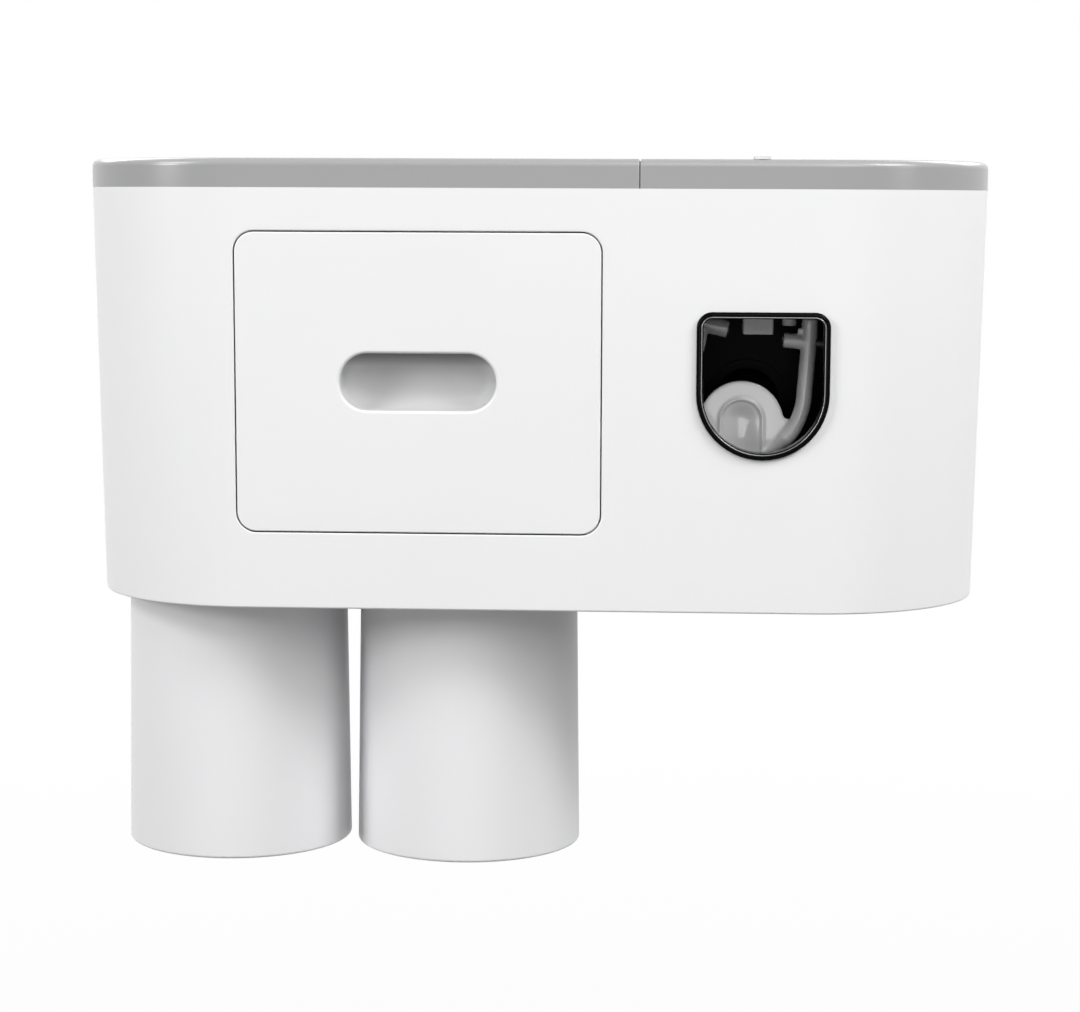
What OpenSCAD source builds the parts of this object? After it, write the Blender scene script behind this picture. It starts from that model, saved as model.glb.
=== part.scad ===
// Wall-hung toothpaste dispenser with a drawer, a lift-out tray and two magnetic cups.
// Millimetres. +Z is up, +Y points into the wall, and the front faces -Y.
// The origin lies on the wall face, in the middle of the hanging line.

/* [Body] */
// Width of the body at its top band
body_w = 265; // [255:1:290]
// Depth of the body, from the wall to its front
body_d = 100; // [96:1:112]
// Height of the body, with its grey top
body_h = 127.4; // [124:0.2:134]
// Radius of the two front corners, seen from above
corner_r = 52; // [40:1:54]
// How far each side leans in, from the band down to the floor
draft = 2.4; // [1:0.1:3]
// Wall of the white shell
wall = 2.4; // [2:0.1:2.8]
// Round on the shell's bottom edge
foot_r = 2.2; // [1.2:0.1:2.4]
// Height of the hanging line below the top
hang_drop = 45; // [40:1:60]

/* [Grey top] */
// Height of the grey band
band_h = 8.2; // [7.6:0.1:10]
// Round on the band's upper edge
band_edge = 1.2; // [0.6:0.1:1.8]
// Where the tray meets the lid, from the middle
split_x = 31; // [30:0.5:33]
// Gap between the tray and the lid
split_gap = 0.5; // [0.3:0.1:0.8]
// Thickness of the lid and of the tray floor
top_t = 2.2; // [1.8:0.1:2.6]
// Depth of the tray's well, below the top
well_drop = 14; // [10:0.5:15]
// Depth of the fixed rail at the wall, front to back
rail_d = 12; // [11.5:0.1:14]
// Radius of the lid's hinge pin
hinge_r = 1.5; // [1.2:0.1:1.8]
// Radius of the lid's knuckles
knuckle_r = 3; // [2.6:0.1:3.4]
// Length of each lid knuckle
knuckle_len = 14; // [10:1:18]

/* [Drawer] */
// Width of the drawer's front
drawer_w = 103; // [90:1:105]
// Bottom of the drawer's front, above the body's underside
drawer_foot = 22.2; // [21:0.2:28]
// Middle of the drawer, from the middle of the body
drawer_x = -31; // [-33:0.5:-30]
// Top of the drawer's front, below the top
drawer_drop = 20.6; // [20:0.2:22]
// Corner radius of the drawer's front
drawer_r = 5.5; // [4:0.5:7]
// Gap round the drawer's front
drawer_gap = 0.4; // [0.3:0.05:0.6]
// Wall of the drawer's box
box_t = 1.8; // [1.4:0.1:2.2]
// Depth of the drawer's box, front to back
box_d = 82; // [70:1:84]
// Width of the finger recess
grip_w = 44.3; // [36:0.5:50]
// Height of the finger recess
grip_h = 16.1; // [14:0.1:18]
// Middle of the finger recess, above the middle of the drawer's front
grip_lift = 0.4; // [-6:0.2:6]
// Straight wall of the finger recess, before its round bottom
grip_lip = 1.5; // [1:0.1:2.5]

/* [Window] */
// Width of the window, over its trim
window_w = 37.3; // [36:0.1:40]
// Height of the window, over its trim
window_h = 41.5; // [40:0.1:44]
// Middle of the window, from the middle of the body
window_x = 65.85; // [64:0.05:70]
// Top of the window, below the top
window_drop = 42.2; // [41:0.2:46]
// Radius of the window's two upper corners
window_r = 4.4; // [3:0.1:6]
// Face width of the black trim
trim_w = 1.9; // [1.5:0.1:2.4]
// How far the trim stands proud of the shell
trim_proud = 0.7; // [0.4:0.1:1.2]
// Depth of the black chamber behind the window
chamber_d = 46; // [44:0.5:50]
// Wall of the black chamber
chamber_t = 2; // [1.6:0.1:2.4]

/* [Push lever] */
// Middle of the lever, from the middle of the body
lever_x = 64.5; // [64:0.05:66]
// Distance between the centres of the lever's two arms
lever_span = 29.3; // [28:0.1:30]
// Radius of the lever's round bar
bar_r = 2.35; // [2:0.05:2.6]
// Pivot of the lever, below the top
pivot_drop = 49.3; // [48.5:0.1:50]
// Slope of the pivot line, down to the right, in degrees
pivot_tilt = 8; // [0:0.5:8]
// Pivot of the lever, behind the front face
pivot_in = 22; // [20:0.5:26]
// Centre of the lever's bottom bend, below the top
bend_drop = 67.4; // [66:0.1:67.6]
// Radius of the push plate
plate_r = 11.9; // [11:0.1:12]
// Middle of the push plate, from the middle of the body
plate_x = 60.6; // [60:0.1:62]
// Centre of the push plate, below the top
plate_drop = 74.6; // [73:0.1:75]
// Thickness of the push plate
plate_t = 3.4; // [3:0.1:4]
// Width of the arched groove for a brush head
groove_w = 12.4; // [10:0.1:14]
// Depth of the arched groove
groove_t = 1.8; // [1.2:0.1:2]
// Radius of the lever's pivot pins
pin_r = 1.5; // [1.2:0.05:1.6]
// Running clearance of a pin in its bore
pin_fit = 0.06; // [0.04:0.01:0.09]

/* [Pump] */
// Middle of the nozzle and the tube socket, from the middle of the body
pump_x = 64.7; // [64:0.1:66]
// Width of the nozzle block
nozzle_w = 8.6; // [8:0.1:10]
// Lower end of the nozzle, below the top
nozzle_drop = 49; // [48:0.1:50]
// Middle of the bellows, from the middle of the body
bellows_x = 62.5; // [61.5:0.1:63.5]
// Centre of the bellows, below the top
bellows_drop = 70; // [69:0.1:71]
// Radius of the bellows at its folds
bellows_r = 9; // [8:0.1:9.6]
// Wall of the bellows
bellows_t = 1.2; // [1:0.1:1.4]
// Number of folds in the bellows
bellows_folds = 3; // [2:1:4]
// Radius of the tube socket's column
column_r = 15; // [14:0.5:16]
// Mouth of the tube socket, above the body's underside
socket_lift = 31.4; // [30.6:0.2:33]
// Bore radius of the silicone sleeve that grips the tube's neck
sleeve_bore_r = 6.5; // [6:0.1:7]
// Outer radius of the silicone sleeve
sleeve_r = 10; // [9:0.1:11]
// Length of the silicone sleeve
sleeve_len = 18; // [16:0.5:18]
// Radius of the paste channels
channel_r = 2.5; // [2:0.1:3]

/* [Cups] */
// Radius of a cup at its closed end, which hangs uppermost
cup_base_r = 32.65; // [30:0.05:33]
// Radius of a cup at its mouth
cup_mouth_r = 33.7; // [33:0.05:34]
// Height of a cup
cup_h = 82.2; // [70:0.2:100]
// Wall of a cup
cup_t = 1.8; // [1.4:0.1:2.4]
// Distance between the two cups' axes
cup_pitch = 70; // [69:0.5:73]
// Middle of the pair of cups, from the middle of the body
cups_x = -55.2; // [-58:0.1:-52]
// Axes of the cups, behind the front face
cup_in = 50; // [46:0.5:54]
// Depth of each seat in the shell's floor
seat_h = 5; // [4:0.2:6]
// Clearance of a cup in its seat, all round
seat_fit = 1; // [0.6:0.1:1.4]
// Radius of the steel disc in a cup's closed end
disc_r = 12; // [9:0.5:14]
// Thickness of the steel disc
disc_t = 1.4; // [1:0.1:1.8]
// Radius of the magnet over each seat
magnet_r = 8; // [6:0.5:10]
// Thickness of the magnet
magnet_t = 3; // [2:0.1:4]

/* [Wall side] */
// Thickness of the back plate
back_t = 3; // [2.4:0.1:3.6]
// Distance between the two keyholes
keyhole_pitch = 150; // [120:1:170]
// Radius of a keyhole's round entry
keyhole_r = 5; // [4:0.1:6]
// Half width of a keyhole's slot
keyhole_slot_r = 2.4; // [2:0.1:3]
// Length of a keyhole's slot, from the centre of its entry
keyhole_len = 11; // [8:0.5:14]
// Radius of a screw's hole in the plates
screw_hole_r = 1.7; // [1.5:0.05:2]
// Radius of a screw's shank
screw_r = 1.3; // [1.1:0.05:1.4]

/* [Hidden] */
$fn = 72;

touch = 0.05;
slide_gap = 0.4;
part_gap = 0.3;
through = 1;
thread_fit = 0.1;

top_z = hang_drop;
shell_top_z = top_z - band_h;
floor_z = top_z - body_h;
shell_h = shell_top_z - floor_z;
inner_floor_z = floor_z + wall;
straight_x = body_w / 2 - corner_r;
straight_d = body_d - corner_r;

hinge_y = -6.5;
hinge_z = top_z - band_h / 2;
knuckle_left_in = 22;
knuckle_right_in = 24;
knuckle_x = [split_x + knuckle_left_in, body_w / 2 - knuckle_right_in];
groove_back = 2.4;
lid_rear_t = 2;
well_wall = 2;

drawer_h = body_h - drawer_drop - drawer_foot;
drawer_mid_z = floor_z + drawer_foot + drawer_h / 2;
grip_z = drawer_mid_z + grip_lift;
sleeve_gap = 0.6;
sleeve_t = 2;
sleeve_in = 0.4;
box_rise = 3.2;
box_top_drop = 16;
box_corner_r = 3;
box_w = drawer_w - 2 * (sleeve_gap + sleeve_t + sleeve_in);
box_low_z = floor_z + drawer_foot + box_rise;
box_high_z = top_z - drawer_drop - box_top_drop;
skid_h = 0.9;
skid_w = 3;
skid_front = 12;
sleeve_low_z = box_low_z - slide_gap - skid_h;
sleeve_top_drop = 1.9;
sleeve_high_z = top_z - drawer_drop - sleeve_top_drop;
box_front_y = -body_d + draft + wall + part_gap;
box_screw_x = 34;
box_boss_r = 3;
box_screw_len = 4.6;
sleeve_back = 5;
sleeve_back_y = -back_t - sleeve_back;

window_bend_r = window_w / 2;
window_bend_z = top_z - window_drop - window_h + window_bend_r;
window_top_z = top_z - window_drop;
trim_fit = 0.15;
chamber_grow = 4.4;
chamber_back_y = -body_d + chamber_d;
stub_x = pump_x + 8.8;
stub_r = 2;
stub_drop = 4.4;

pivot_y = -body_d + pivot_in;
pivot_z = top_z - pivot_drop;
bend_z = top_z - bend_drop;
plate_z = top_z - plate_drop;
plate_back_y = pivot_y + plate_t;
hub_r = 2.4;
hub_left_end = -8;
hub_right_end = 7.4;
bellows_z = top_z - bellows_drop;
arm_top_drop = 1.2;
arm_top_z = window_top_z - arm_top_drop;
plate_web = 0.9;
groove_rise = 0.4;
pin_inset = 0.6;
pin_seat = 0.02;

pump_front_y = chamber_back_y + touch;
face_t = 4;
pump_face_y = pump_front_y + face_t;
riser_w = 11;
riser_d = 9;
riser_mid_y = pump_front_y + riser_d / 2;
column_y = pump_front_y + riser_d + column_r + touch;
socket_z = floor_z + socket_lift;
valve_seat = 0.8;
channel_z = socket_z - sleeve_len - channel_r - valve_seat;
bridge_low_z = window_top_z + chamber_grow + touch;
bridge_h = 9;
bridge_z = bridge_low_z + bridge_h / 2;
nozzle_in = 17;
nozzle_y = -body_d + nozzle_in;
nozzle_d = 9;
base_t = 3;
base_rise = 3;
base_z = inner_floor_z + base_rise;
base_w = 62;
base_d = 18;
base_screw_x = 25;
base_screw_len = 6;
gusset_t = 2;
gusset_in = 4.5;
gusset_drop = 6;
duct_h = 6;
fold_depth = 2.2;
ring_t = 2;
ring_w = 3;
flange_w = 1.6;
flange_t = 1.2;
valve_t = 1.2;
valve_slot = 1;
outlet_r = 3.4;
outlet_t = 1;
slit_w = 0.4;
plug_len = 2;

cup_y = -body_d + cup_in;
seat_z = floor_z + seat_h;
seat_flare = 0.2;
seat_r = cup_base_r + seat_fit + seat_flare;
cup_low_z = seat_z - cup_h;
cup_x = [cups_x - cup_pitch / 2, cups_x + cup_pitch / 2];
magnet_z = seat_z + wall;
magnet_rim = 2;
cap_h = 1.2;
cup_edge = 3;

boss_r = 4;
boss_len = 12;
boss_web = 3;
boss_in = 12;
boss_drawer_gap = 8;
back_screw_x = [-body_w / 2 + boss_in, drawer_x - drawer_w / 2 - boss_drawer_gap,
                split_x + boss_r / 2, body_w / 2 - boss_in];
back_screw_z = [floor_z + boss_in, shell_top_z - boss_in];
screw_sink = 2;
rail_screw_in = 27.5;
rail_screw_side = 16;
rail_screw_x = [-body_w / 2 + rail_screw_in, drawer_x + rail_screw_side,
                (knuckle_x[0] + knuckle_x[1]) / 2];
rail_screw_edge = 2.2;
rail_screw_y = -rail_d + rail_screw_edge;
rail_screw_bite = 4;
rail_block_h = 8;
rail_block_w = 9;
divider_t = 2;
divider_in = 0.9;
divider_x = split_x - divider_in;
rib_h = 1.8;
rib_t = 1.6;
rib_drop = 12;
rib_in = [30, 60];
pad_t = 1;
pad_r = 8;
pad_in = 30;
pad_gap = 10;
pad_x = body_w / 2 - pad_in;
pad_z = back_screw_z[0] + boss_r + pad_r + pad_gap;
pad_fit = 0.1;
post_r = 4;
post_in = 4;
post_y = [-body_d + 13, sleeve_back_y - 6];
screw_head_r = 2.6;
screw_head_h = 1.8;

// Where the shell's outer face lies, out from the corner's centre, at height z
function lean(z) = corner_r - draft * (shell_top_z - z) / shell_h;

// A section carried round the body's outline: left side, front and right side.
// The section's x runs outwards from the line through the corner centres.
module round_the_body(low, high) {
    for (side = [0, 1]) mirror([side, 0, 0]) {
        translate([straight_x, -straight_d, 0]) rotate([0, 0, -90])
            rotate_extrude(angle = 90) children();
        translate([straight_x, 0, 0]) rotate([90, 0, 0])
            linear_extrude(straight_d) children();
    }
    translate([0, -straight_d, 0]) rotate([90, 0, -90])
        linear_extrude(2 * straight_x, center = true) children();
    translate([-straight_x, -straight_d, low])
        cube([2 * straight_x, straight_d, high - low]);
}

// The shell's leaning block, taken in by inset, from low to high
module leaning_block(inset, low, high) {
    round_the_body(low, high)
        polygon([[0, low], [lean(low) - inset, low], [lean(high) - inset, high], [0, high]]);
}

// The band's upright block, taken in by inset, from low to high
module upright_block(inset, low, high) {
    round_the_body(low, high)
        translate([0, low]) square([corner_r - inset, high - low]);
}

// A rectangle with round corners
module round_rect(w, h, r) {
    square([w - 2 * r, h], center = true);
    square([w, h - 2 * r], center = true);
    for (x = [-1, 1], z = [-1, 1])
        translate([x * (w / 2 - r), z * (h / 2 - r)]) circle(r);
}

// The window's outline, taken in by inset: round below, with two small corners above
module window_outline(inset) {
    r = window_bend_r - inset;
    c = window_r - inset;
    top = window_top_z - inset;
    translate([window_x, 0]) {
        translate([0, window_bend_z]) circle(r);
        translate([-r, window_bend_z]) square([2 * r, top - c - window_bend_z]);
        translate([-r + c, window_bend_z]) square([2 * (r - c), top - window_bend_z]);
        for (side = [-1, 1]) translate([side * (r - c), top - c]) circle(c);
    }
}

// A drawing in X and Z, made solid from y0 to y1
module along_y(y0, y1) {
    translate([0, y1, 0]) rotate([90, 0, 0]) linear_extrude(y1 - y0) children();
}

// A screw with a pan head, whose shank runs along -Z from its head at z = 0
module screw(shank) {
    slot = 0.28 * screw_head_r;
    arm = 1.25 * screw_head_r;
    difference() {
        union() {
            cylinder(r = screw_head_r, h = screw_head_h);
            translate([0, 0, -shank]) cylinder(r = screw_r, h = shank + touch);
        }
        for (a = [0, 90]) rotate([0, 0, a])
            translate([-arm / 2, -slot / 2, screw_head_h / 2]) cube([arm, slot, screw_head_h]);
    }
}

module at_cups() {
    for (x = cup_x) translate([x, cup_y, 0]) children();
}

// Two screws at each side of the back, and two more along its foot
module at_back_screws() {
    for (i = [0 : 3], j = [0, 1])
        if (i == 0 || i == 3 || j == 0) translate([back_screw_x[i], 0, back_screw_z[j]]) children();
}

module at_sleeve_posts() {
    for (side = [-1, 1], y = post_y)
        translate([drawer_x + side * (box_w / 2 - post_in), y, 0]) children();
}

module at_base_screws() {
    for (side = [-1, 1]) translate([pump_x + side * base_screw_x, column_y, 0]) children();
}

// The white moulding: front, sides and floor
module shell_walls() {
    difference() {
        union() {
            leaning_block(0, floor_z + foot_r, shell_top_z);
            round_the_body(floor_z, floor_z + foot_r) {
                edge = lean(floor_z) - foot_r;
                translate([0, floor_z]) square([edge, foot_r]);
                intersection() {
                    translate([edge, floor_z + foot_r]) circle(foot_r);
                    translate([edge, floor_z]) square([foot_r, foot_r]);
                }
            }
        }
        leaning_block(wall, inner_floor_z, shell_top_z + through);
        translate([-body_w / 2 + wall + draft, -straight_d, inner_floor_z])
            cube([body_w - 2 * (wall + draft), straight_d + through, shell_h]);
    }
}

module main_shell() color("whitesmoke") {
    difference() {
        union() {
            shell_walls();
            at_cups() translate([0, 0, inner_floor_z - wall / 2])
                cylinder(r = seat_r + wall, h = seat_h + wall / 2);
            at_cups() translate([0, 0, seat_z])
                cylinder(r = magnet_r + magnet_rim, h = wall + magnet_t);
            at_sleeve_posts() translate([0, 0, inner_floor_z - wall / 2])
                cylinder(r = post_r, h = sleeve_low_z - sleeve_t - inner_floor_z + wall / 2);
            at_base_screws() translate([0, 0, inner_floor_z - wall / 2])
                cylinder(r = boss_r, h = base_z - inner_floor_z + wall / 2);
            back_bosses();
        }
        at_cups() translate([0, 0, floor_z - through])
            cylinder(r = seat_r, h = seat_h + through);
        at_cups() translate([0, 0, magnet_z])
            cylinder(r = magnet_r + thread_fit, h = magnet_t + through);
        along_y(-body_d - through, box_front_y)
            translate([drawer_x, drawer_mid_z])
                round_rect(drawer_w + 2 * drawer_gap, drawer_h + 2 * drawer_gap,
                           drawer_r + drawer_gap);
        along_y(-body_d - through, chamber_back_y) window_outline(trim_w / 2);
        at_base_screws() translate([0, 0, inner_floor_z - wall / 2])
            cylinder(r = screw_r + thread_fit, h = base_z - inner_floor_z + wall / 2 + through);
        at_back_screws() translate([0, -back_t - boss_len + screw_sink, 0]) rotate([-90, 0, 0])
            cylinder(r = screw_r + thread_fit, h = boss_len + screw_sink);
    }
}

// Bosses for the back plate's screws, each on a web to the nearest wall
module back_bosses() {
    reach = 2 * boss_in;
    intersection() {
        union() {
            at_back_screws() translate([0, -back_t - boss_len, 0]) rotate([-90, 0, 0])
                cylinder(r = boss_r, h = boss_len);
            for (x = [back_screw_x[0], back_screw_x[3]], z = back_screw_z)
                translate([x < 0 ? x - reach : x, -back_t - boss_len, z - boss_web / 2])
                    cube([reach, boss_len, boss_web]);
            for (x = [back_screw_x[1], back_screw_x[2]])
                translate([x - boss_web / 2, -back_t - boss_len, floor_z])
                    cube([boss_web, boss_len, back_screw_z[0] - floor_z]);
        }
        leaning_block(wall / 2, floor_z + wall / 2, shell_top_z);
    }
}

// A ribbed wall between the drawer's side and the tube's bay
module bay_divider() color("whitesmoke") {
    back = -back_t - touch;
    difference() {
        union() {
            intersection() {
                translate([divider_x - divider_t, -body_d, inner_floor_z])
                    cube([divider_t, body_d + back, shell_top_z - inner_floor_z - touch]);
                leaning_block(wall + touch, floor_z, shell_top_z);
            }
            for (rib = rib_in)
                translate([divider_x - touch, -body_d + rib, inner_floor_z])
                    cube([rib_h, rib_t, shell_h - wall - rib_drop]);
        }
        translate([back_screw_x[2] - boss_r - part_gap, back - boss_len - part_gap, floor_z])
            cube([2 * (boss_r + part_gap), boss_len + through,
                  back_screw_z[0] - floor_z + boss_r + part_gap]);
    }
}

module back_plate() color("gainsboro") {
    difference() {
        union() {
            intersection() {
                leaning_block(wall + part_gap, inner_floor_z + part_gap, shell_top_z);
                translate([-body_w, -back_t, floor_z]) cube([2 * body_w, back_t, shell_h]);
            }
            at_rail_screws() translate([-rail_block_w / 2, -rail_block_w / 2, -rail_block_h])
                cube([rail_block_w, rail_block_w / 2 - rail_screw_y - back_t / 2, rail_block_h]);
        }
        at_rail_screws() translate([0, 0, -rail_block_h - through])
            cylinder(r = screw_hole_r, h = rail_block_h + 2 * through);
        at_back_screws() rotate([90, 0, 0]) translate([0, 0, -through])
            cylinder(r = screw_hole_r, h = back_t + 2 * through);
        at_back_screws() translate([0, -screw_sink, 0]) rotate([-90, 0, 0])
            cylinder(r = screw_head_r + part_gap, h = screw_sink + through);
        for (side = [-1, 1]) translate([side * keyhole_pitch / 2, 0, 0]) keyhole();
        for (side = [-1, 1]) translate([side * pad_x, -pad_t, pad_z]) rotate([-90, 0, 0])
            cylinder(r = pad_r + pad_fit, h = pad_t + through);
    }
}

// A round entry, with a narrower slot above it
module keyhole() {
    along_y(-back_t - through, through) {
        translate([0, -keyhole_len]) circle(keyhole_r);
        translate([-keyhole_slot_r, -keyhole_len]) square([2 * keyhole_slot_r, keyhole_len]);
        circle(keyhole_slot_r);
    }
}

module back_screws() color("silver") {
    at_back_screws() translate([0, -screw_sink, 0]) rotate([-90, 0, 0])
        screw(boss_len - 2 * screw_sink);
}

// Rubber pads in shallow pockets, low on the back
module wall_pads() color("dimgray") {
    for (side = [-1, 1]) translate([side * pad_x, -pad_t, pad_z]) rotate([-90, 0, 0])
        cylinder(r = pad_r, h = pad_t);
}

// The fixed grey rail along the wall, which carries the lid's hinge
module hinge_rail() color("darkgray") {
    groove = knuckle_len + 2 * slide_gap;
    difference() {
        intersection() {
            round_the_body(shell_top_z, top_z) band_section(0);
            translate([-body_w, -rail_d, shell_top_z]) cube([2 * body_w, rail_d, band_h]);
        }
        for (x = knuckle_x)
            translate([x - groove / 2, -rail_d - through, shell_top_z - through])
                cube([groove, rail_d + through - groove_back, band_h + 2 * through]);
        hinge_line(hinge_r + touch);
        at_rail_screws() translate([0, 0, -through])
            cylinder(r = screw_r + thread_fit, h = rail_screw_bite + 2 * through);
        lid_swing();
    }
}

// What the lid's rear edge sweeps over the rail as it opens: all outside a round about the hinge
module lid_swing() {
    reach = rail_d + hinge_y;
    left = split_x - slide_gap;
    translate([left, hinge_y, hinge_z]) difference() {
        translate([0, -reach - through, 0])
            cube([body_w / 2 - left + through, reach + through, band_h]);
        translate([-through, 0, 0]) rotate([0, 90, 0])
            cylinder(r = reach, h = body_w / 2 - left + 3 * through);
    }
}

// On the seat of the rail, at each of its screws
module at_rail_screws() {
    for (x = rail_screw_x) translate([x, rail_screw_y, shell_top_z]) children();
}

// The band's section: upright, with its upper outer edge rounded
module band_section(inset) {
    out = corner_r - inset;
    translate([0, shell_top_z]) square([out, band_h - band_edge]);
    translate([0, shell_top_z]) square([out - band_edge, band_h]);
    translate([out - band_edge, top_z - band_edge]) circle(band_edge);
}

module hinge_line(r) {
    translate([knuckle_x[0] - knuckle_len, hinge_y, hinge_z]) rotate([0, 90, 0])
        cylinder(r = r, h = knuckle_x[1] - knuckle_x[0] + 2 * knuckle_len);
}

module rail_screws() color("silver") {
    at_rail_screws() translate([0, 0, -rail_block_h]) rotate([180, 0, 0])
        screw(rail_block_h + rail_screw_bite);
}

// Everything of the grey top between x0 and x1, in front of the rail
module top_part(x0, x1) {
    intersection() {
        children();
        translate([x0, -body_d - through, floor_z])
            cube([x1 - x0, body_d + through - rail_d - part_gap, body_h + through]);
    }
}

module storage_tray() color("darkgray") {
    right = split_x - split_gap / 2;
    hang = wall + sleeve_gap;
    rim = hang + well_wall;
    difference() {
        union() {
            top_part(-body_w / 2 - through, right)
                round_the_body(shell_top_z, top_z) band_section(0);
            well(hang, top_z - well_drop - top_t, shell_top_z + touch, right - hang);
        }
        well(rim, top_z - well_drop, top_z + through, right - rim);
    }
}

// The tray's well: the body's outline taken in, cut off beside the rail and the lid
module well(inset, low, high, right) {
    intersection() {
        upright_block(inset, low, high);
        translate([-body_w, -body_d, low])
            cube([body_w + right, body_d - rail_d - inset, high - low]);
    }
}

module dispenser_lid() color("darkgray") {
    left = split_x + split_gap / 2;
    difference() {
        union() {
            top_part(left, body_w / 2 + through)
                round_the_body(shell_top_z, top_z) band_section(0);
            for (x = knuckle_x) lid_knuckle(x);
        }
        intersection() {
            upright_block(wall, shell_top_z - through, top_z - top_t);
            translate([left + lid_rear_t, -body_d, floor_z])
                cube([body_w, body_d - rail_d - part_gap - lid_rear_t, body_h]);
        }
        hinge_line(hinge_r + pin_fit);
    }
}

// A barrel round the hinge line, on an arm from the lid's rear edge
module lid_knuckle(x) {
    translate([x - knuckle_len / 2, 0, 0]) {
        translate([0, hinge_y, hinge_z]) rotate([0, 90, 0])
            cylinder(r = knuckle_r, h = knuckle_len);
        translate([0, -rail_d - through, hinge_z - knuckle_r])
            cube([knuckle_len, rail_d + through + hinge_y, 2 * knuckle_r]);
    }
}

module lid_hinge_pin() color("silver") {
    hinge_line(hinge_r);
}

// A small clear lifting tab on the lid's front edge
module lid_tab() color("white") {
    tab_w = 4.8;
    tab_d = 5;
    tab_h = 0.8;
    translate([pump_x, -body_d + band_edge, top_z]) {
        translate([-tab_w / 2, 0, 0]) cube([tab_w, tab_d - tab_w / 2, tab_h]);
        translate([0, tab_d - tab_w / 2, 0]) cylinder(r = tab_w / 2, h = tab_h);
    }
}

module drawer_sleeve() color("whitesmoke") {
    out_w = box_w + 2 * (sleeve_gap + sleeve_t);
    in_w = box_w + 2 * sleeve_gap;
    intersection() {
        difference() {
            translate([drawer_x - out_w / 2, -body_d, sleeve_low_z - sleeve_t])
                cube([out_w, body_d + sleeve_back_y,
                      sleeve_high_z - sleeve_low_z + 2 * sleeve_t]);
            translate([drawer_x - in_w / 2, -body_d - through, sleeve_low_z])
                cube([in_w, body_d + sleeve_back_y - sleeve_t + through,
                      sleeve_high_z - sleeve_low_z]);
        }
        leaning_block(wall + touch, floor_z, top_z);
    }
    for (side = [-1, 1])
        translate([drawer_x + side * box_w / 3 - skid_w / 2, -body_d + skid_front, sleeve_low_z])
            cube([skid_w, body_d + sleeve_back_y - sleeve_t - skid_front, skid_h]);
}

// The drawer's front outline, in X and Z
module drawer_outline() {
    translate([drawer_x, drawer_mid_z]) round_rect(drawer_w, drawer_h, drawer_r);
}

// A lying capsule of radius r whose overall length is the grip's, grown by the same amount
module grip_capsule(grow) {
    r = grip_h / 2 + grow;
    reach = (grip_w - grip_h) / 2;
    translate([drawer_x, front_y(grip_z) + grip_lip, grip_z]) {
        rotate([0, 90, 0]) cylinder(r = r, h = 2 * reach, center = true);
        for (side = [-1, 1]) translate([side * reach, 0, 0]) sphere(r);
    }
}

// The capsule's outline, carried straight out from its middle towards the front
module grip_throat(grow, y0) {
    r = grip_h / 2 + grow;
    reach = (grip_w - grip_h) / 2;
    along_y(y0, front_y(grip_z) + grip_lip) translate([drawer_x, grip_z]) {
        square([2 * reach, 2 * r], center = true);
        for (side = [-1, 1]) translate([side * reach, 0]) circle(r);
    }
}

// The shell's front face at height z
function front_y(z) = -straight_d - lean(z);

module drawer_front() color("whitesmoke") {
    difference() {
        union() {
            intersection() {
                difference() {
                    leaning_block(0, floor_z, shell_top_z);
                    leaning_block(wall, floor_z - through, shell_top_z + through);
                }
                along_y(-body_d - through, -straight_d) drawer_outline();
            }
            intersection() {
                grip_capsule(box_t);
                translate([-body_w, front_y(grip_z) + wall / 2, floor_z])
                    cube([2 * body_w, grip_h, body_h]);
            }
            for (side = [-1, 1])
                translate([drawer_x + side * box_screw_x, front_y(grip_z) + wall / 2, grip_z])
                    rotate([-90, 0, 0])
                        cylinder(r = box_boss_r, h = box_front_y - front_y(grip_z) - wall / 2);
        }
        grip_capsule(0);
        grip_throat(0, -body_d - through);
        for (side = [-1, 1])
            translate([drawer_x + side * box_screw_x, front_y(grip_z) + wall / 2, grip_z])
                rotate([-90, 0, 0]) cylinder(r = screw_r + thread_fit, h = box_screw_len + through);
    }
}

// An open-topped bin, let in round the back of the finger recess
module drawer_box() color("whitesmoke") {
    difference() {
        translate([drawer_x, 0, box_low_z]) difference() {
            translate([-box_w / 2, box_front_y, 0]) rounded_bin(0, box_d, box_corner_r);
            translate([-box_w / 2, box_front_y, 0])
                rounded_bin(box_t, box_d, box_corner_r - box_t);
        }
        along_y(box_front_y - through, box_front_y + box_t + through)
            translate([drawer_x, grip_z]) {
                reach = (grip_w - grip_h) / 2;
                clear = grip_h / 2 + box_t + sleeve_gap;
                square([2 * reach, 2 * clear], center = true);
                for (side = [-1, 1]) translate([side * reach, 0]) circle(clear);
            }
        for (side = [-1, 1])
            translate([drawer_x + side * box_screw_x, box_front_y - through, grip_z])
                rotate([-90, 0, 0]) cylinder(r = screw_hole_r, h = box_t + 2 * through);
    }
}

// A block with round upright edges, taken in by inset on its sides and its floor
module rounded_bin(inset, depth, r) {
    translate([inset, inset, inset]) linear_extrude(box_high_z - box_low_z)
        translate([box_w / 2 - inset, depth / 2 - inset])
            round_rect(box_w - 2 * inset, depth - 2 * inset, r);
}

module drawer_screws() color("silver") {
    for (side = [-1, 1])
        translate([drawer_x + side * box_screw_x, box_front_y + box_t, grip_z])
            rotate([-90, 0, 0]) screw(box_screw_len);
}

// A gloss black bead round the window, with a short sleeve through the wall
module window_trim() color("black") {
    bead_y = -body_d - trim_proud + trim_w / 2;
    difference() {
        union() {
            along_y(bead_y, box_front_y + through) window_outline(trim_w / 2 + trim_fit);
            difference() {
                bead(bead_y, trim_w / 2);
                leaning_block(-touch, floor_z, shell_top_z);
            }
        }
        along_y(bead_y - through, box_front_y + 2 * through) window_outline(trim_w);
    }
}

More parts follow.
